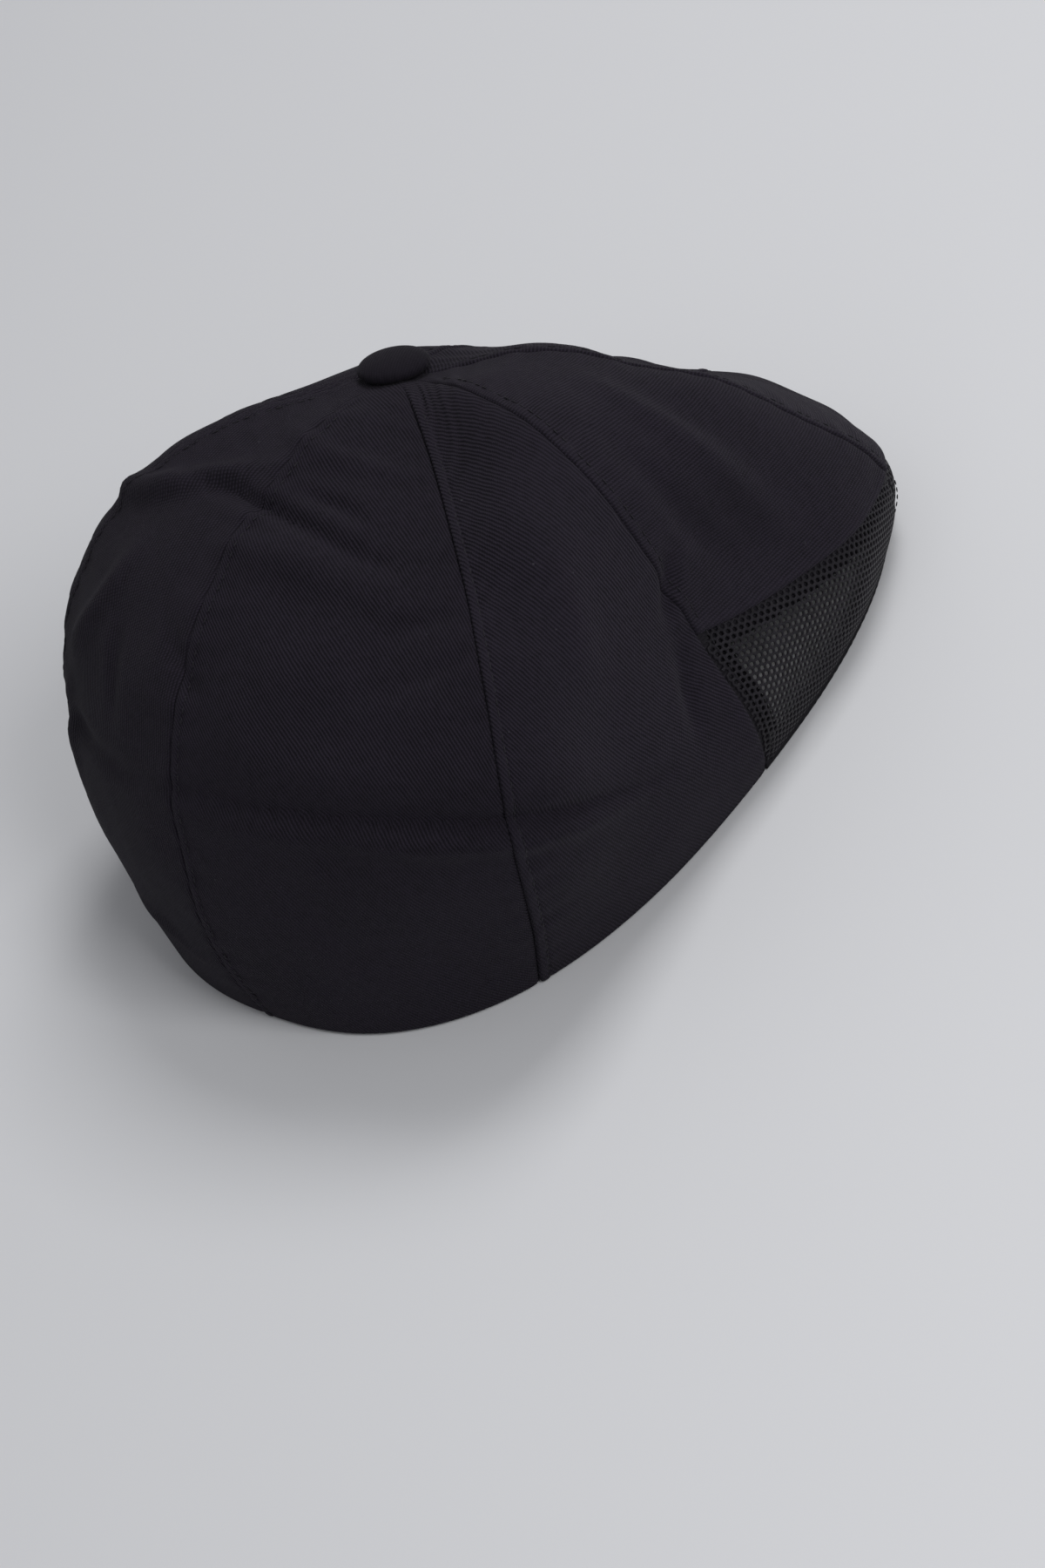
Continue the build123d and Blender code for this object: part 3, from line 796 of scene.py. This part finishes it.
def declare(cut):
    """Works out a cut's flat size and area, and does nothing more with them."""
    flat, area = flat_size(cut)
    flat = [max(side, SMALLEST_SIDE) for side in flat]


def settle(piece, finish, slot, *nodes):
    """Gives a piece its finish and its body, and hides the construction nodes it stands for. The slot is not
    used.
    """
    if finish is not None:
        piece.data.materials.clear()
        piece.data.materials.append(finish_of(finish))
    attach(piece, "root")
    if nodes:
        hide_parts(*nodes)


def sew(name, points, outs, *nodes):
    """Sews a row of stitches along points in millimetres, on cloth that faces outs."""
    sizes = bpy.context.scene.cap_sizes
    line = bpy.data.meshes.new(name)
    line.from_pydata((points * MM).tolist(), [(i, i + 1) for i in range(len(points) - 1)], [])
    set_value(line, "face_out", outs, "FLOAT_VECTOR")
    values = {
        "Pitch": sizes.stitch_pitch, "Stitch Length": sizes.stitch_length,
        "Thread Width": sizes.thread_width, "Material": finish_of("thread"),
    }
    settle(grown(placed(name, line), stitch_tree(), values), None, "thread", *nodes)


# ---- settings ----
def length_setting(name, description, default, low=0.0001, high=0.1):
    return bpy.props.FloatProperty(
        name=name, description=description, default=default, min=low, max=high,
        subtype="DISTANCE", unit="LENGTH", precision=5,
    )


def angle_setting(name, description, degrees):
    return bpy.props.FloatProperty(
        name=name, description=description, default=math.radians(degrees), subtype="ANGLE", unit="ROTATION"
    )


def colour_setting(name, description, default):
    return bpy.props.FloatVectorProperty(
        name=name, description=description, default=default, size=3, min=0, max=1, subtype="COLOR"
    )


class CapSizes(bpy.types.PropertyGroup):
    """Sizes of the cap's cloth, mesh and stitches"""

    rib_pitch: length_setting("Twill rib pitch", "Distance from one twill rib to the next", 0.0008)
    mesh_pitch: length_setting("Mesh pitch", "Distance from one hole of the mesh to the next", 0.0017)
    mesh_thread: length_setting("Mesh thread", "Width of the thread between two holes", 0.00078)
    mesh_flatness: bpy.props.FloatProperty(
        name="Mesh flatness", description="Thickness of the mesh thread as a share of its width",
        default=0.75, min=0.2, max=1,
    )
    stitch_pitch: length_setting("Stitch pitch", "Distance from one stitch to the next", 0.0025)
    stitch_length: length_setting("Stitch length", "Length of thread that shows in one stitch", 0.0019)
    thread_width: length_setting("Thread width", "Width of the sewing thread", 0.00034)
    button_width: length_setting("Button width", "Diameter of the covered button", 0.0165)
    button_rise: length_setting("Button rise", "Height of the covered button", 0.0044)
    button_pleats: bpy.props.IntProperty(
        name="Button pleats", description="Pleats in the cloth gathered under the button",
        default=26, min=6, max=60,
    )


class CapColours(bpy.types.PropertyGroup):
    """Colours of the cap's cloth, thread and metal"""

    twill: colour_setting("Twill", "Black cotton twill", (0.0073, 0.0060, 0.0092))
    bloom: colour_setting("Twill bloom", "Tint of the twill's surface fibres", (0.80, 0.76, 0.86))
    lint: colour_setting("Lint", "Stray pale fibres caught in the cloth", (0.10, 0.10, 0.11))
    net: colour_setting("Mesh", "Black knitted mesh", (0.0086, 0.0075, 0.0103))
    tape: colour_setting("Tape", "Black woven seam tape", (0.010, 0.009, 0.012))
    thread: colour_setting("Thread", "Black sewing thread", (0.0115, 0.0104, 0.0138))
    label: colour_setting("Label", "Blank white satin care label", (0.72, 0.72, 0.71))
    steel: colour_setting(
        "Steel", "Plated steel of the button's shell, rivet and backplate", (0.56, 0.56, 0.58)
    )


class CapStudio(bpy.types.PropertyGroup):
    """The camera, the light and the floor"""

    azimuth: angle_setting(
        "View azimuth", "Side that the camera looks from, anticlockwise from the front", 239.2
    )
    elevation: angle_setting("View elevation", "Height of the camera above the hem plane", 40.2)
    roll: angle_setting("View roll", "Turn of the camera about its own line of sight", -30.3)
    distance: length_setting(
        "View distance", "From the camera to the middle of the head opening", 1.15, 0.2, 5
    )
    drop: length_setting("View drop", "How far below the head opening the camera aims", 0.0207, -0.2, 0.2)
    lens: bpy.props.FloatProperty(
        name="Lens", description="Focal length of the camera", default=113.6, min=20, max=300, unit="CAMERA"
    )
    floor: colour_setting("Floor", "Pale studio floor", (0.68, 0.685, 0.705))
    light: bpy.props.FloatProperty(
        name="Light", description="Strength of all the studio lights together", default=1.0, min=0, max=10
    )


# ---- operators ----
class CAP_OT_stage(bpy.types.Operator):
    """Set up the camera, the soft lights and the pale floor"""

    bl_idname = "kitchen_cap.stage"
    bl_label = "Stage"

    # Each light's name, place, width and power.
    lamps = [
        ("key_light", (-0.10, -0.80, 1.30), 0.6, 9.5),
        ("fill_light", (-0.5, 1.2, 0.9), 0.9, 0.8),
        ("side_light", (-1.15, 0.02, 1.05), 0.6, 9.5),
    ]

    def execute(self, context):
        studio = context.scene.cap_studio
        self.camera(context, studio)
        self.light(context, studio)
        self.floor(studio)
        return {"FINISHED"}

    def camera(self, context, studio):
        a, e, roll = studio.azimuth, studio.elevation, studio.roll
        back = Vector((math.sin(a) * math.cos(e), -math.cos(a) * math.cos(e), math.sin(e)))
        level_right = Vector((math.cos(a), math.sin(a), 0))
        up = back.cross(level_right) * math.cos(roll) - level_right * math.sin(roll)
        place = back * studio.distance
        back = (place + up * studio.drop).normalized()
        right = up.cross(back).normalized()
        data = bpy.data.cameras.new("camera")
        data.lens = studio.lens
        data.clip_start, data.clip_end = 0.05, 20
        camera = placed("camera", data)
        turn = Matrix((right, back.cross(right), back)).transposed().to_4x4()
        camera.matrix_world = Matrix.Translation(place) @ turn
        context.scene.camera = camera

    def light(self, context, studio):
        world = bpy.data.worlds.new("studio")
        world.use_nodes = True
        backdrop = world.node_tree.nodes["Background"]
        backdrop.inputs["Color"].default_value = (0.86, 0.87, 0.90, 1)
        backdrop.inputs["Strength"].default_value = 0.33 * studio.light
        context.scene.world = world
        context.scene.view_settings.view_transform = "Standard"
        for name, spot, width, power in self.lamps:
            data = bpy.data.lights.new(name, "AREA")
            data.shape, data.size = "SQUARE", width
            data.energy = power * studio.light
            turn = Vector(spot).to_track_quat("Z", "Y").to_matrix().to_4x4()
            placed(name, data).matrix_world = Matrix.Translation(spot) @ turn

    def floor(self, studio):
        half, below = 6.0, -0.0004
        corners = [(-half, -half, below), (half, -half, below), (half, half, below), (-half, half, below)]
        mesh = bpy.data.meshes.new("floor")
        mesh.from_pydata(corners, [], [(0, 1, 2, 3)])
        mesh.materials.append(floor_material(studio.floor))
        placed("floor", mesh)


# ---- twill panels ----
# Distances from a seam at which a panel has a column of points, in millimetres.
EDGE_STEPS = [0.04, 0.15, 0.32, 0.55, 0.85, 1.25, 1.75, 2.0, 2.25, 2.45, 2.7, 3.1, 3.8, 4.8, 6.0]
FOLD_STEPS = 8
# Height of relief at which the cloth is rubbed palest, in millimetres.
FULL_WEAR = 0.3


def panel_columns(index, drop, middle):
    """Shares across a panel for each row: set distances from both seams, and even steps between."""
    width = width_per_turn(index + 0.5, drop)
    edges = np.array(EDGE_STEPS)
    squeeze = np.minimum(1.0, width / (edges[-1] * 3.0))
    first = edges[None, :] * squeeze[:, None] / width[:, None]
    inner = np.linspace(0, 1, middle + 2)[1:-1]
    start, end = first[:, -1:], 1 - first[:, -1:]
    return np.hstack([first, start + (end - start) * inner, 1 - first[:, ::-1]])


def rotated(cut, degrees):
    """Flat coordinates turned so that twill ribs, which run up the pattern, lean by an angle on the piece."""
    turn = math.radians(degrees)
    u, v = cut[..., 0], cut[..., 1]
    cosine, sine = math.cos(turn), math.sin(turn)
    return np.stack([u * cosine + v * sine, v * cosine - u * sine], axis=-1)


def folded_hem(outer, inner, cut, out, relief):
    """Carries a panel on round its hem fold, half a turn down and inwards."""
    ring = outer[-1] - out * (FOLD_RADIUS + relief)[:, None]
    down = np.array([0, 0, -1.0])
    for step in range(1, FOLD_STEPS + 1):
        angle = math.pi * step / FOLD_STEPS
        way = out * math.cos(angle) + down * math.sin(angle)
        fading = relief * (1 - step / FOLD_STEPS)
        outer = np.concatenate([outer, [ring + way * (FOLD_RADIUS + fading)[:, None]]])
        inner = np.concatenate([inner, [ring + way * (FOLD_RADIUS - TWILL)]])
        cut = np.concatenate([cut, [cut[-1] - np.array([0, FOLD_RADIUS * math.pi / FOLD_STEPS])]])
    return outer, inner, cut


def panel_piece(index, name):
    """One panel of twill, from under the button to its hem fold or to its join with the mesh."""
    on_mesh = index in MESH_NAMES
    share = np.linspace(0, 1, 150)[:, None]
    t = panel_columns(index, (share * 0.98 + 0.02)[:, 0], middle=54)
    turn = index + t
    top = TIP_RADIUS / length_down(turn)
    bottom = above_hem(turn, mesh_height(turn) + JOIN_GAP if on_mesh else FOLD_RADIUS)
    drop = top + (bottom - top) * share
    seam = seam_relief(index, t, turn, drop)
    if on_mesh:
        seam = seam + np.interp((bottom - drop) * length_down(turn), *JOIN_EDGE)
    outer = cloth_point(turn, drop, 0, seam)
    inner = cloth_point(turn, drop, TWILL, np.minimum(seam, 0.0))
    cut = cut_place(turn, drop, index + 0.5)
    if not on_mesh:
        outer, inner, cut = folded_hem(outer, inner, cut, crown_normal(turn[-1], drop[-1]), seam[-1])
    piece = closed_cloth(name, outer, inner, rotated(cut, GRAINS[index]))
    wear = np.zeros((2, *outer.shape[:2]))
    wear[0, : len(seam)] = np.clip(seam, 0, FULL_WEAR) / FULL_WEAR
    set_value(piece.data, "wear", wear)
    return piece, cut


class CAP_OT_panels(bpy.types.Operator):
    """Make the eight twill panels with their pressed seams, worn folds and turned hem"""

    bl_idname = "kitchen_cap.panels"
    bl_label = "Twill panels"

    def execute(self, context):
        for index, name in enumerate(PANEL_NAMES):
            piece, cut = panel_piece(index, "twill_" + name)
            settle(piece, "twill", "twill", name)
            declare(cut)
        return {"FINISHED"}


def net_host(index):
    """The smooth cloth that a front's mesh is wrapped on, a little wider than the mesh all round."""
    # How far the cloth goes past the seams and the join, and where the mesh on it ends, in millimetres.
    beyond, above, hem_gap = 1.6, 4.5, 0.2
    seam_gap, behind_join, roll_height = 0.2, 2.6, 1.3
    down, across = shares(40, 90)
    width = width_per_turn(index + 0.5, 0.95)
    t = -beyond / width + across * (1 + 2 * beyond / width) + 0 * down
    turn = index + t
    top = mesh_height(turn) + above
    height = top + (hem_gap - top) * down
    drop = above_hem(turn, height)
    below_join = mesh_height(turn) - height
    depth = 0.45 + np.interp(below_join, [-2, 0.5, 3.5], [0.95, 0.7, 0.0])
    # The mesh dips towards its first seam and runs under the lap of its second.
    width_here = width_per_turn(turn, drop)
    relief = np.interp(t * width_here, *NET_GROOVE) - np.interp((1 - t) * width_here, *NET_LAP)
    points = cloth_point(turn, drop, depth, relief).reshape(-1, 3)
    cut = cut_place(turn, drop, index + 0.5)
    kept = (t > seam_gap / width) & (t < 1 - seam_gap / width)
    kept &= (below_join > -behind_join) & (height > roll_height)
    faces = grid_faces(*turn.shape).tolist()
    host = piece_from("open_" + MESH_NAMES[index], points, faces, cut.reshape(-1, 2))
    set_value(host.data, "keep", kept)
    set_value(host.data, "face_out", crown_normal(turn, drop), "FLOAT_VECTOR")
    return host, cut, float(kept.mean())


class CAP_OT_mesh_fronts(bpy.types.Operator):
    """Make the open mesh fronts, with real holes, and the pressed allowances on their seams"""

    bl_idname = "kitchen_cap.mesh_fronts"
    bl_label = "Mesh fronts"

    def execute(self, context):
        sizes = context.scene.cap_sizes
        for index, name in MESH_NAMES.items():
            host, cut, kept = net_host(index)
            flat, _ = flat_size(cut)
            values = {
                "Width": flat[0], "Height": flat[1], "Pitch": sizes.mesh_pitch,
                "Thread Width": sizes.mesh_thread, "Thread Flatness": sizes.mesh_flatness,
                "Material": finish_of("net"),
            }
            piece = grown(host, net_tree(), values)
            settle(piece, None, "mesh", name)
            declare(cut)
        for seam in (0, 1, SIDE_RIGHT, SIDE_LEFT, 7):
            self.allowance(seam)
        return {"FINISHED"}

    def allowance(self, seam):
        """The mesh's seam allowances, pressed flat behind a seam that has mesh on one side or both."""
        reach, tucked, foot, near, far = 2.6, 0.05, 1.5, 0.86, 1.16
        low = -reach if seam in MESH_NAMES else tucked
        high = reach if (seam - 1) % PANELS in MESH_NAMES else -tucked
        share = np.linspace(0, 1, 40)[:, None]
        top = mesh_height(seam)
        drop = above_hem(seam, top + (foot - top) * share)
        turn = seam - np.linspace(low, high, 13)[None, :] / width_per_turn(seam, drop)
        drop = np.broadcast_to(drop, turn.shape)
        piece, _ = strip_piece("mesh_allowance_" + SEAM_NAMES[seam], turn, drop, near, far, float(seam))
        settle(piece, "knit", "mesh")


class CAP_OT_tapes(bpy.types.Operator):
    """Make the woven tapes inside the seams and inside the joins of mesh and twill"""

    bl_idname = "kitchen_cap.tapes"
    bl_label = "Tapes"

    def execute(self, context):
        for seam, name in enumerate(SEAM_NAMES):
            self.seam_tape(seam, name)
        for index in MESH_NAMES:
            self.join_tape(index)
        return {"FINISHED"}

    def seam_tape(self, seam, name):
        """One seam's tape, raised along its middle by what lies under it, and its two rows of stitches."""
        down, across = shares(130, 17)
        top = TIP_RADIUS / length_down(seam)
        between_nets = seam in MESH_NAMES and (seam - 1) % PANELS in MESH_NAMES
        bottom = above_hem(seam, 4.2 if between_nets else HEM_TURNING + TAPE_CLEARANCE)
        drop = top + (bottom - top) * down
        half = np.minimum(TAPE_WIDTH / 2 / width_per_turn(seam, drop), MOST_TAPE_SHARE)
        turn = seam + (2 * across - 1) * half
        drop = np.broadcast_to(drop, turn.shape)
        filled = 0.45 * np.exp(-(((across - 0.5) * 2.6) ** 4)) * np.clip(drop * 5, 0, 1)
        near, far = rounded(across, TAPE_NEAR, TAPE_FAR)
        piece, cut = strip_piece("tape_" + name, turn, drop, near, far, float(seam), follow=filled)
        settle(piece, "tape", "tape", "seam_tape_" + name)
        declare(cut)
        for side, column in (("first", 2), ("second", 14)):
            line = turn[5:, column], drop[5:, column]
            points = cloth_point(*line, TAPE_FAR + 0.12)
            sew(f"tape_stitches_{name}_{side}", points, -crown_normal(*line))

    def join_tape(self, index):
        down, across = shares(9, 60)
        side = (TAPE_WIDTH / 2 + TAPE_CLEARANCE) / width_per_turn(index + 0.5, 0.85)
        turn = index + side + (1 - 2 * side) * across + 0 * down
        drop = above_hem(turn, mesh_height(turn) + JOIN_TAPE_WIDTH * (0.5 - down))
        near, far = rounded(down, TAPE_NEAR, TAPE_FAR)
        name = "join_tape_" + MESH_NAMES[index].replace("_mesh", "")
        piece, cut = strip_piece("inner_" + name, turn, drop, near, far, index + 0.5)
        settle(piece, "tape", "tape", name)
        declare(cut)


class CAP_OT_hem(bpy.types.Operator):
    """Make the turned-up hem allowance and the rolled edge of the mesh fronts"""

    bl_idname = "kitchen_cap.hem"
    bl_label = "Hem"

    def execute(self, context):
        first, last = SIDE_RIGHT + END_GAP, SIDE_LEFT - END_GAP
        turn, drop, height = band_grid(first, last, 260, 10, HEM_TURNING, FOLD_RADIUS)
        share = (HEM_TURNING - height) / (HEM_TURNING - FOLD_RADIUS)
        near, far = rounded(np.minimum(share, 0.5), TAPE_NEAR, TURNING_FAR)
        piece, cut = strip_piece("turned_hem", turn, drop, near, far, BACK)
        settle(piece, "twill", "twill", "hem_turning")
        declare(cut)
        self.rolled_edge()
        return {"FINISHED"}

    def rolled_edge(self):
        """A narrow roll of doubled mesh round the hem of the fronts."""
        columns, around, squareness = 260, 18, 0.55
        turn = np.linspace(SIDE_LEFT - PANELS + ROLL_GAP, SIDE_RIGHT - ROLL_GAP, columns)
        angle = np.linspace(0, 2 * np.pi, around, endpoint=False)
        sides = np.cos(angle), np.sin(angle)
        inward, upward = (np.sign(side) * np.abs(side) ** squareness for side in sides)
        deep, high = 0.85 - 0.95 * inward, 1.35 + 1.35 * upward
        base, out = crown_point(turn, above_hem(turn, 1.3)), crown_normal(turn, 1.0)
        base[:, 2] = 0
        puff = 0.08 * np.sin(2 * np.pi * turn * 28) * np.sin(np.pi * np.mod(turn, 1))
        points = base[:, None, :] - out[:, None, :] * (deep[None, :] - puff[:, None])[..., None]
        points[..., 2] += high[None, :]
        last = (columns - 1) * around
        ends = [list(range(around))[::-1], list(range(last, last + around))]
        faces = grid_faces(columns, around, closed=True).tolist() + ends
        run = turn * hem_run[-1] / PANELS
        cut = np.stack(np.broadcast_arrays(run[:, None], (angle * 1.1)[None, :]), axis=-1)
        piece = piece_from("rolled_front_edge", points.reshape(-1, 3), faces, cut.reshape(-1, 2), sharp=180.0)
        settle(piece, "knit", "mesh", "front_binding")


class CAP_OT_sweatband(bpy.types.Operator):
    """Make the sweatband round the back, its row of stitches and the blank care label"""

    bl_idname = "kitchen_cap.sweatband"
    bl_label = "Sweatband"

    def execute(self, context):
        low, high = BAND_LIFT, SWEATBAND_HEIGHT
        turn, drop, height = band_grid(SIDE_RIGHT + END_GAP, SIDE_LEFT - END_GAP, 300, 44, high, low)
        share = (high - height) / (high - low)
        near, far = rounded(share, BAND_NEAR, BAND_FAR, 0.03)
        loose = (0.55 + 0.45 * np.sin(2 * np.pi * turn * 3.1)) * 0.7 * (1 - share) ** 1.5
        piece, cut = strip_piece("inner_sweatband", turn, drop, near, far, BACK, follow=loose)
        settle(piece, "band_twill", "sweatband", "sweatband")
        declare(cut)
        turn = np.linspace(SIDE_RIGHT + STITCH_GAP, SIDE_LEFT - STITCH_GAP, 400)
        drop = above_hem(turn, BAND_STITCH_HEIGHT)
        points = cloth_point(turn, drop, BAND_FAR + 0.14)
        sew("band_stitches", points, -crown_normal(turn, drop), "sweatband_stitch")
        self.label()
        return {"FINISHED"}

    def label(self):
        """The blank care label, whose free upper end curls away from the cloth."""
        bottom = SWEATBAND_HEIGHT + LABEL_CLEARANCE
        half = LABEL_WIDTH / 2 / width_per_turn(LABEL_TURN, above_hem(LABEL_TURN, bottom))
        first, last = LABEL_TURN - half, LABEL_TURN + half
        turn, drop, height = band_grid(first, last, 33, 22, bottom + LABEL_DROP, bottom)
        share = (height - bottom) / LABEL_DROP
        near = TAPE_FAR + LAYER_CLEARANCE
        curl = 0.9 * share**2 * (0.6 + 0.4 * np.cos((turn - LABEL_TURN) / half * 2.2))
        far = near + LABEL_THICKNESS
        piece, cut = strip_piece("blank_label", turn, drop, near, far, LABEL_TURN, follow=curl)
        settle(piece, "label", "label", "care_label")
        declare(cut)


class CAP_OT_topstitching(bpy.types.Operator):
    """Sew a row of stitches beside each of the eight seams"""

    bl_idname = "kitchen_cap.topstitching"
    bl_label = "Topstitching"

    def execute(self, context):
        drop = np.linspace(0.11, 0.992, 240)
        for seam, name in enumerate(SEAM_NAMES):
            turn = seam - STITCH_LINE / width_per_turn(seam, drop)
            points = cloth_point(turn, drop, -0.10)
            sew("stitches_" + name, points, crown_normal(turn, drop), "topstitch_" + name)
        return {"FINISHED"}


class CAP_OT_button(bpy.types.Operator):
    """Make the button's gathered twill cover, and finish its shell, rivet and backplate"""

    bl_idname = "kitchen_cap.button"
    bl_label = "Button"

    # How far the cover sinks into the cloth under it, in millimetres.
    sunk = 0.4

    def execute(self, context):
        sizes = context.scene.cap_sizes
        outline = self.outline(sizes.button_width / 2 / MM, sizes.button_rise / MM)
        around, rings = sizes.button_pleats * 8, len(outline)
        angle = np.linspace(0, 2 * np.pi, around, endpoint=False)
        points, cut = [], []
        for radius, height, gather, run in outline:
            pleat = gather * (np.sin(sizes.button_pleats * angle) + 0.35 * np.sin(7 * angle + 1.3))
            r = radius + pleat * 0.22
            points.append(np.stack([r * np.cos(angle), r * np.sin(angle), height + pleat * 0.10], axis=1))
            cut.append(np.stack([run * np.cos(angle), run * np.sin(angle)], axis=1))
        points = np.vstack([*points, [[0, 0, sizes.button_rise / MM]], [[0, 0, outline[-1][1]]]])
        cut = np.vstack([*cut, [[0, 0]], [[0, 0]]])
        faces = grid_faces(rings, around, closed=True).tolist()
        top, last, bottom = rings * around, (rings - 1) * around, rings * around + 1
        for k in range(around):
            after = (k + 1) % around
            faces += [[k, after, top], [last + k, last + after, bottom]]
        seat = button_seat + seat_normal * (BUTTON_SEAT_LIFT - self.sunk)
        points = points @ np.array(button_turn.to_3x3()).T + seat
        piece = piece_from("button_cloth", points, faces, cut, sharp=180.0)
        settle(piece, "button_twill", "button_twill", "button_cover")
        for node in ("button_shell", "button_rivet", "button_backplate"):
            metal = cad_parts[node]
            metal.data.materials.clear()
            metal.data.materials.append(finish_of("steel"))
        return {"FINISHED"}

    def outline(self, radius, rise):
        """Radius, height, gathering and run of cloth for each ring, from the crown to the underside."""
        rings, steps, rim = [], 34, 0.30
        for step in range(1, steps + 1):
            angle = math.radians(128) * step / steps
            r = radius * math.sin(min(angle, math.pi / 2)) ** 0.86
            z = rise * (rim + (1 - rim) * max(math.cos(angle), 0) ** 0.8)
            if angle > math.pi / 2:
                under = (angle - math.pi / 2) / math.radians(38)
                r = radius * (1 - 0.28 * under**1.5)
                z = rise * rim * (1 - min(1.0, under * 1.5))
            gather = max(0.0, (angle - math.radians(62)) / math.radians(66)) ** 1.3
            run = rings[-1][3] + math.dist(rings[-1][:2], (r, z)) if rings else r
            rings.append((r, z, gather, run))
        return rings


class CAP_PT_sidebar(bpy.types.Panel):
    """Sizes, colours and build steps of the kitchen cap"""

    bl_idname = "CAP_PT_sidebar"
    bl_label = "Kitchen Cap"
    bl_space_type = "VIEW_3D"
    bl_region_type = "UI"
    bl_category = "Kitchen Cap"

    def draw(self, context):
        for group in (context.scene.cap_sizes, context.scene.cap_colours, context.scene.cap_studio):
            box = self.layout.box()
            for name in group.__annotations__:
                box.prop(group, name)
        for step in STEPS:
            self.layout.operator(step.bl_idname)


STEPS = [
    CAP_OT_stage, CAP_OT_panels, CAP_OT_mesh_fronts, CAP_OT_tapes, CAP_OT_hem,
    CAP_OT_sweatband, CAP_OT_topstitching, CAP_OT_button,
]
GROUPS = {"cap_sizes": CapSizes, "cap_colours": CapColours, "cap_studio": CapStudio}


def register():
    for group in GROUPS.values():
        bpy.utils.register_class(group)
    for name, group in GROUPS.items():
        setattr(bpy.types.Scene, name, bpy.props.PointerProperty(type=group))
    for step in [*STEPS, CAP_PT_sidebar]:
        bpy.utils.register_class(step)


def unregister():
    for step in [CAP_PT_sidebar, *reversed(STEPS)]:
        bpy.utils.unregister_class(step)
    for name, group in GROUPS.items():
        delattr(bpy.types.Scene, name)
        bpy.utils.unregister_class(group)


def main():
    register()
    for step in STEPS:
        area, action = step.bl_idname.split(".")
        getattr(getattr(bpy.ops, area), action)()


if __name__ == "__main__":
    main()
